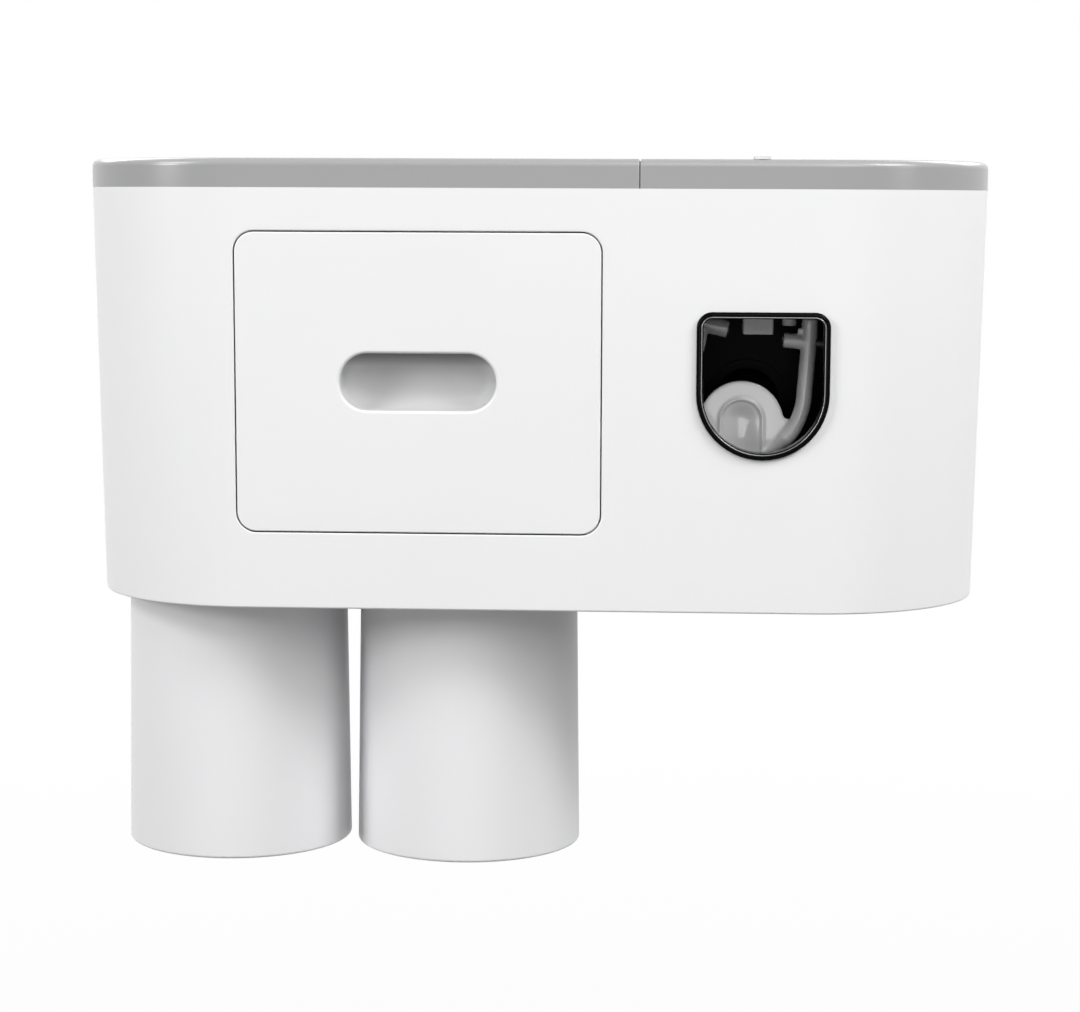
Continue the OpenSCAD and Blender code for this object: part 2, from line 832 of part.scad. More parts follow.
// A round bar bent along the window's outline: a half turn below, two small bends above
module bead(y, r) {
    bend = window_bend_r - r;
    corner = window_r - r;
    top = window_top_z - r;
    translate([window_x, y, 0]) {
        translate([0, 0, window_bend_z]) rotate([90, 0, 0])
            rotate_extrude(angle = -180) translate([bend, 0]) circle(r);
        for (side = [-1, 1])
            translate([side * bend, 0, window_bend_z])
                cylinder(r = r, h = top - corner - window_bend_z);
        translate([-bend + corner, 0, top]) rotate([0, 90, 0])
            cylinder(r = r, h = 2 * (bend - corner));
        for (side = [0, 1]) mirror([side, 0, 0])
            translate([bend - corner, 0, top - corner]) rotate([90, 0, 0])
                rotate_extrude(angle = 90) translate([corner, 0]) circle(r);
    }
}

// The black chamber behind the window: it catches drips and carries the lever
module dispense_chamber() color("black") {
    difference() {
        intersection() {
            along_y(-body_d, chamber_back_y) window_outline(-chamber_grow);
            leaning_block(wall + touch, floor_z, top_z);
        }
        along_y(-body_d - through, chamber_back_y - chamber_t)
            window_outline(-chamber_grow + chamber_t);
        translate([bellows_x, 0, bellows_z]) rotate([90, 0, 0])
            cylinder(r = bellows_r + ring_w + part_gap, h = body_d - chamber_d + chamber_t + through);
        pivot_rod(-window_w, window_w, pin_r + pin_seat);
        translate([pump_x - nozzle_w / 2 - part_gap, nozzle_y - nozzle_d / 2 - part_gap,
                   window_top_z])
            cube([nozzle_w + 2 * part_gap, nozzle_d + 2 * part_gap, 2 * chamber_grow]);
    }
    translate([stub_x, nozzle_y, window_top_z - stub_drop])
        cylinder(r = stub_r, h = stub_drop + chamber_grow - chamber_t / 2);
}

// A rod on the lever's sloping pivot line, from x0 to x1 either side of the lever's middle
module pivot_rod(x0, x1, r) {
    translate([lever_x, pivot_y, pivot_z]) rotate([0, 90 + pivot_tilt, 0])
        translate([0, 0, x0]) cylinder(r = r, h = x1 - x0);
}

module push_lever() color("white") {
    difference() {
        union() {
            for (side = [-1, 1])
                translate([lever_x + side * lever_span / 2, pivot_y, bend_z])
                    cylinder(r = bar_r, h = arm_top_z - bend_z);
            translate([lever_x, pivot_y, bend_z]) rotate([90, 0, 0])
                rotate_extrude(angle = -180) translate([lever_span / 2, 0]) circle(bar_r);
            pivot_rod(-lever_span / 2, hub_left_end, hub_r);
            pivot_rod(hub_right_end, lever_span / 2, hub_r);
            along_y(pivot_y, plate_back_y) plate_outline();
        }
        pivot_rod(-lever_span, lever_span, pin_r + pin_fit);
        along_y(pivot_y - through, pivot_y + groove_t) groove_outline();
    }
}

// The push plate: a disc that grows out of the bar's bend, apart from it on the right
module plate_outline() {
    intersection() {
        translate([lever_x, bend_z]) circle(lever_span / 2);
        union() {
            translate([plate_x, plate_z]) circle(plate_r);
            translate([lever_x - lever_span, plate_z + plate_web - lever_span])
                square([2 * lever_span, lever_span]);
        }
    }
}

// An arch as wide as a brush head, open at the bottom
module groove_outline() {
    low = bend_z - lever_span / 2 - bar_r - through;
    translate([plate_x, plate_z + groove_rise]) circle(groove_w / 2);
    translate([plate_x - groove_w / 2, low]) square([groove_w, plate_z + groove_rise - low]);
}

// Two pins, pressed into the chamber's sides, that the lever's hubs turn on
module lever_pins() color("silver") {
    reach = window_bend_r + chamber_grow;
    pivot_rod(window_x - lever_x - reach + pin_inset, hub_left_end, pin_r);
    pivot_rod(hub_right_end, window_x - lever_x + reach - pin_inset, pin_r);
}

// Column and base in one moulding: paste enters the column and leaves forwards through the duct
module pump_body() color("white") {
    difference() {
        union() {
            translate([pump_x, column_y, base_z]) cylinder(r = column_r, h = socket_z - base_z);
            translate([pump_x - base_w / 2, column_y - base_d / 2, base_z])
                cube([base_w, base_d, base_t]);
            for (side = [-1, 1]) gusset(side);
            translate([pump_x - riser_w / 2, pump_front_y, base_z])
                cube([riser_w, column_y - pump_front_y, channel_z + duct_h - base_z]);
        }
        translate([pump_x, column_y, socket_z - sleeve_len])
            cylinder(r = sleeve_r, h = sleeve_len + through);
        translate([pump_x, column_y, channel_z]) cylinder(r = channel_r, h = sleeve_len);
        translate([pump_x, column_y, channel_z]) rotate([90, 0, 0])
            cylinder(r = channel_r, h = column_y - riser_mid_y);
        translate([pump_x, riser_mid_y, channel_z])
            cylinder(r = channel_r, h = duct_h + through);
        at_base_screws() translate([0, 0, base_z - through])
            cylinder(r = screw_hole_r, h = base_t + 2 * through);
    }
}

// Riser and bridge in one moulding on the duct: it holds the bellows, and carries the nozzle
module pump_riser() color("white") {
    low = channel_z + duct_h + touch;
    high = bridge_low_z + bridge_h;
    bridge_front_y = nozzle_y - nozzle_d / 2 - through;
    difference() {
        union() {
            translate([pump_x - riser_w / 2, pump_front_y, low])
                cube([riser_w, riser_d, high - low]);
            translate([pump_x - riser_w / 2, bridge_front_y, bridge_low_z])
                cube([riser_w, pump_front_y + riser_d - bridge_front_y, bridge_h]);
            translate([bellows_x, pump_face_y, bellows_z]) rotate([90, 0, 0])
                cylinder(r = bellows_r + ring_w, h = face_t);
        }
        translate([pump_x, riser_mid_y, low - through])
            cylinder(r = channel_r, h = high - low + 2 * through);
        translate([bellows_x, pump_front_y - through, bellows_z]) rotate([-90, 0, 0])
            cylinder(r = channel_r, h = riser_d / 2 + through);
        translate([pump_x, pump_front_y + riser_d + through, bridge_z]) rotate([90, 0, 0])
            cylinder(r = channel_r, h = pump_front_y + riser_d + through - nozzle_y);
        translate([pump_x, nozzle_y, bridge_low_z - through])
            cylinder(r = channel_r, h = bridge_h / 2 + through);
    }
}

// A web between the column and its base, on one side
module gusset(side) {
    outer = side * (base_screw_x - gusset_in);
    inner = side * column_r / 2;
    high = socket_z - gusset_drop;
    translate([pump_x, column_y, 0]) rotate([90, 0, 0])
        linear_extrude(gusset_t, center = true) polygon([
            [inner, base_z], [outer, base_z], [outer, base_z + base_t + 1],
            [side * (column_r - 1), high], [inner, high]]);
}

module pump_screws() color("silver") {
    at_base_screws() translate([0, 0, base_z + base_t]) screw(base_screw_len);
}

// A folded silicone bulb between the push plate and the pump's face
module pump_bellows() color("lightgray") {
    length = pump_front_y - plate_back_y - part_gap;
    flange = 1;
    nose = 2;
    pitch = (length - flange - nose) / bellows_folds;
    waist = bellows_r - fold_depth;
    outer = [for (i = [0 : bellows_folds - 1]) each [
        [waist, flange + i * pitch], [bellows_r, flange + (i + 0.3) * pitch],
        [bellows_r, flange + (i + 0.7) * pitch]]];
    inner = [for (p = outer) [p[0] - bellows_t, p[1]]];
    translate([bellows_x, pump_front_y, bellows_z]) rotate([90, 0, 0]) rotate_extrude()
        polygon(concat(
            [[waist - bellows_t, 0], [bellows_r + ring_w / 2, 0],
             [bellows_r + ring_w / 2, flange], [waist, flange]],
            [for (i = [1 : len(outer) - 1]) outer[i]],
            [[waist, length - nose], [waist - 1, length], [0, length], [0, length - bellows_t],
             [waist - bellows_t - 1, length - 2 * bellows_t]],
            [for (i = [len(inner) - 1 : -1 : 1]) inner[i]]));
}

// The clamp ring that holds the bellows' flange on the pump's face
module bellows_ring() color("white") {
    translate([bellows_x, pump_front_y - 1 - touch, bellows_z]) rotate([90, 0, 0]) difference() {
        cylinder(r = bellows_r + ring_w, h = ring_t - touch);
        translate([0, 0, -through]) cylinder(r = bellows_r + part_gap, h = ring_t + 2 * through);
    }
}

module inlet_valve() color("lightgray") {
    translate([pump_x, column_y, socket_z - sleeve_len + touch]) difference() {
        cylinder(r = sleeve_r - 2 * thread_fit, h = valve_t);
        for (a = [30 : 120 : 270]) rotate([0, 0, a])
            translate([channel_r + valve_slot / 2, -valve_slot / 2, -through])
                cube([2 * valve_slot, valve_slot, valve_t + 2 * through]);
    }
}

module outlet_valve() color("lightgray") {
    slit = 2 * (outlet_r - 1.9);
    translate([pump_x, nozzle_y, bridge_low_z - outlet_t - touch]) difference() {
        cylinder(r = outlet_r, h = outlet_t);
        translate([-slit / 2, -slit_w / 2, -through]) cube([slit, slit_w, outlet_t + 2 * through]);
    }
}

// The square-fronted nozzle that hangs over the brush
module nozzle() color("gray") {
    low = top_z - nozzle_drop;
    high = bridge_low_z - low - touch;
    pocket = outlet_t + 2 * touch;
    translate([pump_x, nozzle_y, low]) difference() {
        translate([-nozzle_w / 2, -nozzle_d / 2, 0]) cube([nozzle_w, nozzle_d, high]);
        translate([0, 0, high - pocket]) cylinder(r = outlet_r + thread_fit, h = pocket + through);
        translate([0, 0, -through]) cylinder(r = channel_r, h = high + 2 * through);
    }
}

// Plugs that close the moulded ends of the paste channels
module channel_plugs() color("lightgray") {
    translate([pump_x, pump_front_y + riser_d - plug_len, bridge_z]) rotate([-90, 0, 0])
        cylinder(r = channel_r - touch, h = plug_len);
    translate([pump_x, riser_mid_y, bridge_low_z + bridge_h - plug_len])
        cylinder(r = channel_r - touch, h = plug_len);
}

module tube_sleeve() color("lightgray") {
    low = socket_z - sleeve_len + valve_t + 4 * touch;
    translate([pump_x, column_y, low]) difference() {
        union() {
            cylinder(r = sleeve_r - thread_fit, h = socket_z - low);
            translate([0, 0, socket_z - low]) cylinder(r = sleeve_r + flange_w, h = flange_t);
        }
        translate([0, 0, -through]) cylinder(r = sleeve_bore_r, h = sleeve_len + flange_t + through);
    }
}

module seat_magnets() color("dimgray") {
    at_cups() translate([0, 0, magnet_z]) cylinder(r = magnet_r, h = magnet_t);
}

module magnet_caps() color("whitesmoke") {
    at_cups() translate([0, 0, magnet_z + magnet_t])
        cylinder(r = magnet_r + magnet_rim, h = cap_h);
}

// A cup's half section, taken in by inset on its wall and twice that on its closed end
module cup_profile(inset) {
    low = inset > 0 ? cup_low_z - through : cup_low_z + cup_t / 2;
    top = seat_z - 2 * inset;
    out = cup_base_r - inset;
    polygon([[0, low], [cup_mouth_r - inset, low], [out, top - cup_edge],
             [out - cup_edge, top - cup_edge], [out - cup_edge, top], [0, top]]);
    translate([out - cup_edge, top - cup_edge]) circle(cup_edge);
}

// A tapered beaker that hangs mouth down, with a pocket for its disc
module cup() {
    rim_r = cup_t / 2;
    difference() {
        rotate_extrude() difference() {
            union() {
                cup_profile(0);
                translate([cup_mouth_r - rim_r, cup_low_z + rim_r]) circle(rim_r);
            }
            cup_profile(cup_t);
        }
        translate([0, 0, seat_z - disc_t]) cylinder(r = disc_r + touch, h = disc_t + through);
    }
}

module cup_disc() {
    translate([0, 0, seat_z - disc_t]) cylinder(r = disc_r, h = disc_t);
}

module left_cup() color("white") translate([cup_x[0], cup_y, 0]) cup();
module right_cup() color("white") translate([cup_x[1], cup_y, 0]) cup();
module left_cup_disc() color("silver") translate([cup_x[0], cup_y, 0]) cup_disc();
module right_cup_disc() color("silver") translate([cup_x[1], cup_y, 0]) cup_disc();

main_shell();
bay_divider();
back_plate();
back_screws();
wall_pads();
hinge_rail();
rail_screws();
storage_tray();
dispenser_lid();
lid_hinge_pin();
lid_tab();
drawer_sleeve();
drawer_front();
drawer_box();
drawer_screws();
window_trim();
dispense_chamber();
push_lever();
lever_pins();
pump_body();
pump_riser();
pump_screws();
pump_bellows();
bellows_ring();
inlet_valve();
outlet_valve();
nozzle();
channel_plugs();
tube_sleeve();
seat_magnets();
magnet_caps();
left_cup();
left_cup_disc();
right_cup();
right_cup_disc();
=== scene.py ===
import math

import bmesh
import bpy
import numpy as np
from mathutils import Matrix, Vector, geometry


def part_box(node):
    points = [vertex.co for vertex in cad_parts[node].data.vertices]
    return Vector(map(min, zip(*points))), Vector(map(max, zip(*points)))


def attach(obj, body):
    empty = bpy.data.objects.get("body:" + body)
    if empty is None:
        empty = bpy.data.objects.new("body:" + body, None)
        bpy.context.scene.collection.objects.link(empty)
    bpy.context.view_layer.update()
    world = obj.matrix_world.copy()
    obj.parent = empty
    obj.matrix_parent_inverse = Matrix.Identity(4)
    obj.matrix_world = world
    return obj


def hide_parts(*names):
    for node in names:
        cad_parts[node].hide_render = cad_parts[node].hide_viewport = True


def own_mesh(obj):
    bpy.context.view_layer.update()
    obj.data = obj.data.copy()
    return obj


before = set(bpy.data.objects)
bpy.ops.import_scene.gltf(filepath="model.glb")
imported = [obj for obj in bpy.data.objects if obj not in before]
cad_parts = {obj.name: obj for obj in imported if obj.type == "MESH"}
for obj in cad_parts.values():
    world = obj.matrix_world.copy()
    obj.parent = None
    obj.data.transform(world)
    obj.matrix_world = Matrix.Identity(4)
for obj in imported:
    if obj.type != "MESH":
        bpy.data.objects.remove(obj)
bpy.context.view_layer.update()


# Camera: it stands a little to the right of the body's middle and almost as high as its top, and
# looks slightly down and to the left. An 86 mm lens on a 36 mm sensor gives the same perspective.

CAMERA_PLACE = (0.04107, -0.81904, 0.03352)
CAMERA_YAW = 0.0519
CAMERA_PITCH = -0.1182
CAMERA_ROLL = -0.0042
CAMERA_LENS = 85.855

camera = bpy.data.objects.new("camera", bpy.data.cameras.new("camera"))
camera.data.lens = CAMERA_LENS
camera.data.clip_start = 0.01
camera_turn = (Matrix.Rotation(CAMERA_YAW, 4, "Z") @ Matrix.Rotation(CAMERA_PITCH, 4, "X")
               @ Matrix.Rotation(CAMERA_ROLL, 4, "Y") @ Matrix.Rotation(math.pi / 2, 4, "X"))
camera.matrix_world = Matrix.Translation(CAMERA_PLACE) @ camera_turn
bpy.context.collection.objects.link(camera)
bpy.context.scene.camera = camera
bpy.context.scene.view_settings.view_transform = "Standard"


# Studio: a pale floor well below the hanging body, and a white surround. Soft lamps stand above and
# in front, high and low at each side, and behind for the side that faces the wall. A long low one
# puts a gloss on the lever in its window. The floor's shade fades out with distance.

class Wire:
    """A shader socket. Python's operators on it add Math nodes, and node() adds any other."""

    def __init__(self, tree, socket):
        self.tree = tree
        self.socket = socket

    def maths(self, operation, *others):
        """Adds a Math node with this wire first and the other values or wires after it."""
        values = {i: value for i, value in enumerate((self, *others))}
        return self.node("ShaderNodeMath", {"operation": operation}, 0, values)

    def node(self, kind, settings, out, sockets):
        """Adds a node: its settings, then its sockets' values or wires, by name or number."""
        made = self.tree.nodes.new(kind)
        for key, value in settings.items():
            setattr(made, key, value)
        for key, value in sockets.items():
            if isinstance(value, Wire):
                self.tree.links.new(value.socket, made.inputs[key])
            else:
                made.inputs[key].default_value = value
        return Wire(self.tree, made.outputs[out])

    def feed(self, socket):
        """Links the wire to a socket that already exists."""
        self.tree.links.new(self.socket, socket)

    def __add__(self, other):
        return self.maths("ADD", other)

    def __sub__(self, other):
        return self.maths("SUBTRACT", other)

    def __mul__(self, other):
        return self.maths("MULTIPLY", other)

    def __rsub__(self, other):
        return (self * -1.0) + other

    __radd__ = __add__
    __rmul__ = __mul__


def shows_white(tree):
    """1 for rays from the camera, in reflections and through clear pieces, and 0 for others."""
    rays = tree.nodes.new("ShaderNodeLightPath").outputs
    seen, glossy, clear = (Wire(tree, rays[f"Is {kind} Ray"])
                           for kind in ("Camera", "Glossy", "Transmission"))
    return seen.maths("MAXIMUM", glossy).maths("MAXIMUM", clear)


WORLD_LIGHT = 0.06
# Each lamp's azimuth and height in degrees, its distance, width and length in metres, and watts.
LAMPS = {
    "key": (20, 45, 1.70, 0.90, 0.90, 6.8),
    "front": (20, 27, 1.80, 0.80, 0.80, 6.5),
    "right": (60, 40, 1.70, 0.60, 0.60, 18.0),
    "right_low": (60, 10, 1.70, 0.35, 0.35, 1.8),
    "left": (-62, 34, 1.70, 0.50, 0.50, 10.0),
    "left_low": (-60, 14, 1.70, 0.40, 0.40, 9.5),
    "window_strip": (-10, -4.5, 1.70, 1.15, 0.11, 1.8),
    "back_left": (-140, 35, 1.70, 0.80, 0.80, 11.0),
    "back_right": (140, 35, 1.70, 0.80, 0.80, 11.0),
}
LAMP_AIM = Vector((0, -0.05, -0.04))
FLOOR_DROP = 0.42
FLOOR_HALF = 6.0
FLOOR_SHADE = 0.03
FLOOR_NEAR = 0.6
FLOOR_FAR = 1.4
FLOOR_PAPER = 0.17

world = bpy.data.worlds.new("white_surround")
bpy.context.scene.world = world
world.use_nodes = True
world.node_tree.nodes.clear()
white_rays = shows_white(world.node_tree)
surround = white_rays.node("ShaderNodeBackground", {}, 0, {
    "Color": (1, 1, 1, 1), "Strength": white_rays * (1.0 - WORLD_LIGHT) + WORLD_LIGHT})
surround.feed(world.node_tree.nodes.new("ShaderNodeOutputWorld").inputs["Surface"])

for lamp_name, (azimuth, height, distance, width, tall, power) in LAMPS.items():
    azimuth, height = math.radians(azimuth), math.radians(height)
    outward = Vector((math.sin(azimuth) * math.cos(height), -math.cos(azimuth) * math.cos(height),
                      math.sin(height)))
    lamp = bpy.data.lights.new(lamp_name, "AREA")
    lamp.shape = "RECTANGLE"
    lamp.size = width
    lamp.size_y = tall
    lamp.energy = power
    lamp_object = bpy.data.objects.new(lamp_name, lamp)
    facing = outward.to_track_quat("Z", "Y").to_matrix().to_4x4()
    lamp_object.matrix_world = Matrix.Translation(LAMP_AIM + distance * outward) @ facing
    bpy.context.collection.objects.link(lamp_object)

floor_mesh = bpy.data.meshes.new("floor")
floor_corners = ((-1, -1), (1, -1), (1, 1), (-1, 1))
floor_mesh.from_pydata([(x * FLOOR_HALF, y * FLOOR_HALF, -FLOOR_DROP) for x, y in floor_corners],
                       [], [(0, 1, 2, 3)])
floor = bpy.data.objects.new("floor", floor_mesh)
bpy.context.collection.objects.link(floor)
floor_look = bpy.data.materials.new("pale_floor")
floor_look.use_nodes = True
floor_look.node_tree.nodes.clear()
white_rays = shows_white(floor_look.node_tree)
floor_paper = white_rays.node("ShaderNodeBsdfDiffuse", {}, 0, {"Color": (*[FLOOR_PAPER] * 3, 1)})
floor_glow = white_rays.node("ShaderNodeEmission", {}, 0, {"Color": (1, 1, 1, 1)})
floor_place = floor_look.node_tree.nodes.new("ShaderNodeTexCoord").outputs["Object"]
from_middle = white_rays.node("ShaderNodeVectorMath", {"operation": "LENGTH"}, 1, {
    0: Wire(floor_look.node_tree, floor_place)})
near = ((FLOOR_FAR - from_middle) * (1 / (FLOOR_FAR - FLOOR_NEAR))).maths("MINIMUM", 1.0)
near = near.maths("MAXIMUM", 0.0)
floor_mix = white_rays.node("ShaderNodeMixShader", {}, 0, {
    0: white_rays * (1.0 - near * FLOOR_SHADE), 1: floor_paper, 2: floor_glow})
floor_mix.feed(floor_look.node_tree.nodes.new("ShaderNodeOutputMaterial").inputs["Surface"])
floor_mesh.materials.append(floor_look)


# White shell: one satin moulding, open at its top and back, with large round front corners and
# sides that lean in towards the floor. The drawer's opening and the window go through its front,
# and the two cup seats are sunk in its floor. Bosses inside carry the back plate, the drawer's
# sleeve and the pump.

shell_low, shell_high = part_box("main_shell")
drawer_low, drawer_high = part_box("drawer_front")
trim_low, trim_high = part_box("window_trim")
cup_boxes = [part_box("left_cup"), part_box("right_cup")]
SHELL_TOP = shell_high[2]
SHELL_FLOOR = shell_low[2]
CORNER = 0.052
DRAFT = 0.0024
WALL = 0.0024
FOOT_ROUND = 0.0006
EDGE_ROUND = 0.00035
SPINE_X = shell_high[0] - CORNER
SPINE_Y = shell_low[1] + CORNER
DRAWER_GAP = 0.0004
DRAWER_ROUND = 0.0055
WINDOW_ROUND = 0.0044
TRIM_WIDTH = 0.0019
FRONT_REACH = 0.086
FRONT_SPLIT = 0.034
SIDE_STEPS = 30
ARC_STEPS = 14
SEAT_RADIUS = 0.03385
SEAT_EDGE = 0.0006
SEAT_TOP = cup_boxes[0][1][2]
CUPS_Y = (cup_boxes[0][0][1] + cup_boxes[0][1][1]) / 2
CUPS_X = [(low[0] + high[0]) / 2 for low, high in cup_boxes]
INNER_FLOOR = SHELL_FLOOR + FOOT_ROUND
LEAST_ROUND = 0.0002
FACE_ROWS = 9
FACE_CROWDING = 1.5
TURN_STEPS = 33
BACK_STEPS = 14
TWIN_STEPS = 96
MERGE_WITHIN = 2e-6
SLIVER = 1e-6
WHITE = (0.835, 0.835, 0.84)
DRIFT_SCALE = 24.0
DRIFT_GLOSS = 0.06
GRAIN_SCALE = 1500.0
GRAIN_GLOSS = 0.03
GRAIN_DEPTH = 0.0002
COAT_ROUGHNESS = 0.06
PLASTIC_IOR = 1.48


def box_loop(low, high, radii, side=SIDE_STEPS, arc=ARC_STEPS):
    """Walks round a box, anticlockwise from its lower left corner. Each corner is a quarter turn
    of its own radius, centre + radius * (cos, sin), and each side an even run between two
    corners. The number of points is always the same, so loops of other sizes match it."""
    centres = np.array([(low[0] + radii[0], low[1] + radii[0]),
                        (high[0] - radii[1], low[1] + radii[1]),
                        (high[0] - radii[2], high[1] - radii[2]),
                        (low[0] + radii[3], high[1] - radii[3])])
    angle = (math.pi * (1 + 0.5 * np.arange(4))[:, None]
             + np.linspace(0, math.pi / 2, arc + 1)[None])
    arcs = centres[:, None] + np.array(radii)[:, None, None] * np.stack(
        [np.cos(angle), np.sin(angle)], -1)
    share = np.linspace(0, 1, side + 2)[1:-1, None]
    sides = arcs[:, -1:] * (1 - share) + np.roll(arcs[:, :1], -1, 0) * share
    return np.concatenate([arcs, sides], 1).reshape(-1, 2)


def lathe(centre, profile, axis="z", count=96):
    """Turns a profile of (radius, height) points about an axis through the centre: each row is a
    circle, radius * (cos, sin), at its own height along the axis."""
    angle = np.linspace(0, 2 * math.pi, count, endpoint=False)
    radius, height = np.array(profile, float).T[:, :, None]
    across, up, along = radius * np.cos(angle), radius * np.sin(angle), height + 0 * angle
    order = {"x": (along, across, up), "y": (across, along, up), "z": (across, up, along)}[axis]
    return np.stack(order, -1) + np.array(centre)


def fillet(radius, steps=6):
    """A quarter round: (how far in, how far down) for each step, from the top face's end to the
    side's start, radius * (1 - sin, 1 - cos)."""
    angle = np.linspace(0, math.pi / 2, steps + 1)
    return list(zip(radius * (1 - np.sin(angle)), radius * (1 - np.cos(angle))))


def build(name, patches, material, flats=(), sharp=0.7):
    """One object from patches of points, each (rows, whether its rows are closed loops), and
    flats, each a list of coplanar loops: an outline and its holes. Points that meet are merged,
    faces turned outwards, and edges sharper than the angle kept sharp."""
    points, faces, start = [], [], 0
    for rows, closed in patches:
        rows = np.asarray(rows, float)
        high, wide = rows.shape[:2]
        i = np.arange(high - 1)[:, None] * wide + start
        j = np.arange(wide if closed else wide - 1)[None]
        after = (j + 1) % wide
        quads = np.stack([i + j, i + after, i + wide + after, i + wide + j], -1)
        faces += quads.reshape(-1, 4).tolist()
        points.append(rows.reshape(-1, 3))
        start += high * wide
    for loops in flats:
        loops = [np.asarray(loop, float) for loop in loops]
        triangles = geometry.tessellate_polygon([[Vector(p) for p in loop] for loop in loops])
        faces += (np.array(triangles) + start).tolist()
        points += loops
        start += sum(len(loop) for loop in loops)
    mesh = bpy.data.meshes.new(name)
    mesh.from_pydata(np.concatenate(points).tolist(), [], faces)
    work = bmesh.new()
    work.from_mesh(mesh)
    bmesh.ops.remove_doubles(work, verts=work.verts, dist=MERGE_WITHIN)
    bmesh.ops.dissolve_degenerate(work, edges=work.edges, dist=SLIVER)
    bmesh.ops.recalc_face_normals(work, faces=work.faces)
    work.to_mesh(mesh)
    work.free()
    mesh.shade_smooth()
    mesh.set_sharp_from_angle(angle=sharp)
    mesh.materials.append(material)
    piece = bpy.data.objects.new(name, mesh)
    bpy.context.collection.objects.link(piece)
    even = piece.modifiers.new("even shading", "WEIGHTED_NORMAL")
    even.keep_sharp = True
    return piece


def lean(z, inset=0.0):
    """Radius of the front corners at height z, less the inset: it shrinks evenly from the band
    to the floor."""
    return CORNER - DRAFT * (SHELL_TOP - z) / (SHELL_TOP - SHELL_FLOOR) - inset


def on_front(loop, inset=0.0, back=0.0):
    """A loop of (x, z) laid on the front face: flat between the corners' centres, and beyond them
    a quarter circle, centre - sqrt(radius^2 - distance^2)."""
    x, z = loop[..., 0], loop[..., 1]
    beyond = np.maximum(np.abs(x) - SPINE_X, 0.0)
    y = SPINE_Y - np.sqrt(lean(z, inset) ** 2 - beyond ** 2) + back
    return np.stack([x, y, z], -1)


def between(a, b, steps, power=1.0):
    """Rows that go from loop a to loop b, closer together near b as the power grows."""
    share = 1 - np.linspace(1, 0, steps)[:, None, None] ** power
    return a[None] * (1 - share) + b[None] * share


def window_loop(inset):
    """The window's outline in x and z: two small corners above, and a half circle below."""
    half = (trim_high[0] - trim_low[0]) / 2 - inset
    corner = max(WINDOW_ROUND - inset, LEAST_ROUND)
    return box_loop((trim_low[0] + inset, trim_low[2] + inset),
                    (trim_high[0] - inset, trim_high[2] - inset), (half, half, corner, corner))


def drawer_loop(inset):
    """The drawer front's outline in x and z: a rectangle with four round corners."""
    return box_loop((drawer_low[0] + inset, drawer_low[2] + inset),
                    (drawer_high[0] - inset, drawer_high[2] - inset), [DRAWER_ROUND - inset] * 4)


def pierced_front(hole, x0, x1):
    """The front from x0 to x1 round a hole: rows run from the outer rectangle to the hole, round
    its edge, through the wall and back over the inner face."""
    outer = box_loop((x0, INNER_FLOOR), (x1, SHELL_TOP), [0] * 4)
    face = between(outer, hole(-EDGE_ROUND), FACE_ROWS, FACE_CROWDING)
    edge = [on_front(hole(-inward), back=down) for inward, down in fillet(EDGE_ROUND, 4)]
    return np.concatenate([on_front(face), edge[1:], on_front(face[::-1], WALL)])


def corner_wall(side, levels, inset=0.0):
    """A front corner and the side behind it, a row for each height in levels: the angle goes from
    the front patch's edge to a quarter turn, then the wall runs straight back."""
    radius = lean(levels, inset)[:, None]
    share = np.linspace(0, 1, TURN_STEPS)[None]
    angle = np.arcsin((FRONT_REACH - SPINE_X) / radius) * (1 - share) + math.pi / 2 * share
    back = np.linspace(SPINE_Y, 0, BACK_STEPS)[None, 1:] + 0 * radius
    x = np.concatenate([SPINE_X + radius * np.sin(angle), SPINE_X + radius + 0 * back], 1)
    y = np.concatenate([SPINE_Y - radius * np.cos(angle), back], 1)
    return np.stack([side * x, y, levels[:, None] + 0 * x], -1)


def front_edge(z, inset=0.0):
    """The front face's points at one height, from the left corner's patch to the right one's."""
    run = np.linspace(0, 1, SIDE_STEPS + 2)
    x = np.concatenate([-FRONT_REACH + (FRONT_SPLIT + FRONT_REACH) * run,
                        FRONT_SPLIT + (FRONT_REACH - FRONT_SPLIT) * run[1:]])
    return on_front(np.stack([x, np.full_like(x, z)], 1), inset)


def outline_at(z, inset=0.0):
    """The shell's whole outline at one height: left side, front and right side, as one path."""
    level = np.array([z])
    left = corner_wall(-1, level, inset)[0][::-1]
    right = corner_wall(1, level, inset)[0]
    return np.concatenate([left, front_edge(z, inset)[1:], right[1:]])


def foot_rows():
    """The round under the walls: each point moves in, away from the outline's normal, and down,
    radius * (1 - cos) and radius * sin."""
    path = outline_at(INNER_FLOOR)
    spine = np.stack([np.clip(path[:, 0], -SPINE_X, SPINE_X), np.maximum(path[:, 1], SPINE_Y)], 1)
    outward = path[:, :2] - spine
    outward /= np.linalg.norm(outward, axis=1)[:, None]
    angle = np.linspace(0, math.pi / 2, 9)[:, None, None]
    shift = -outward[None] * FOOT_ROUND * (1 - np.cos(angle))
    fall = -FOOT_ROUND * np.sin(angle) + 0 * path[None, :, :1]
    return path[None] + np.concatenate([shift, fall], -1)


def twin_loop(radius, z):
    """The outline of two circles that overlap, one over each cup: each arc leaves out the part
    inside the other circle."""
    half = (CUPS_X[1] - CUPS_X[0]) / 2
    cut = math.acos(min(half / radius, 1.0))
    loops = []
    for x, first in ((CUPS_X[0], cut), (CUPS_X[1], math.pi + cut)):
        angle = np.linspace(first, first + 2 * (math.pi - cut), TWIN_STEPS + 1)[:-1]
        loops.append(np.stack([x + radius * np.cos(angle), CUPS_Y + radius * np.sin(angle),
                               np.full(TWIN_STEPS, z)], 1))
    return np.concatenate(loops)


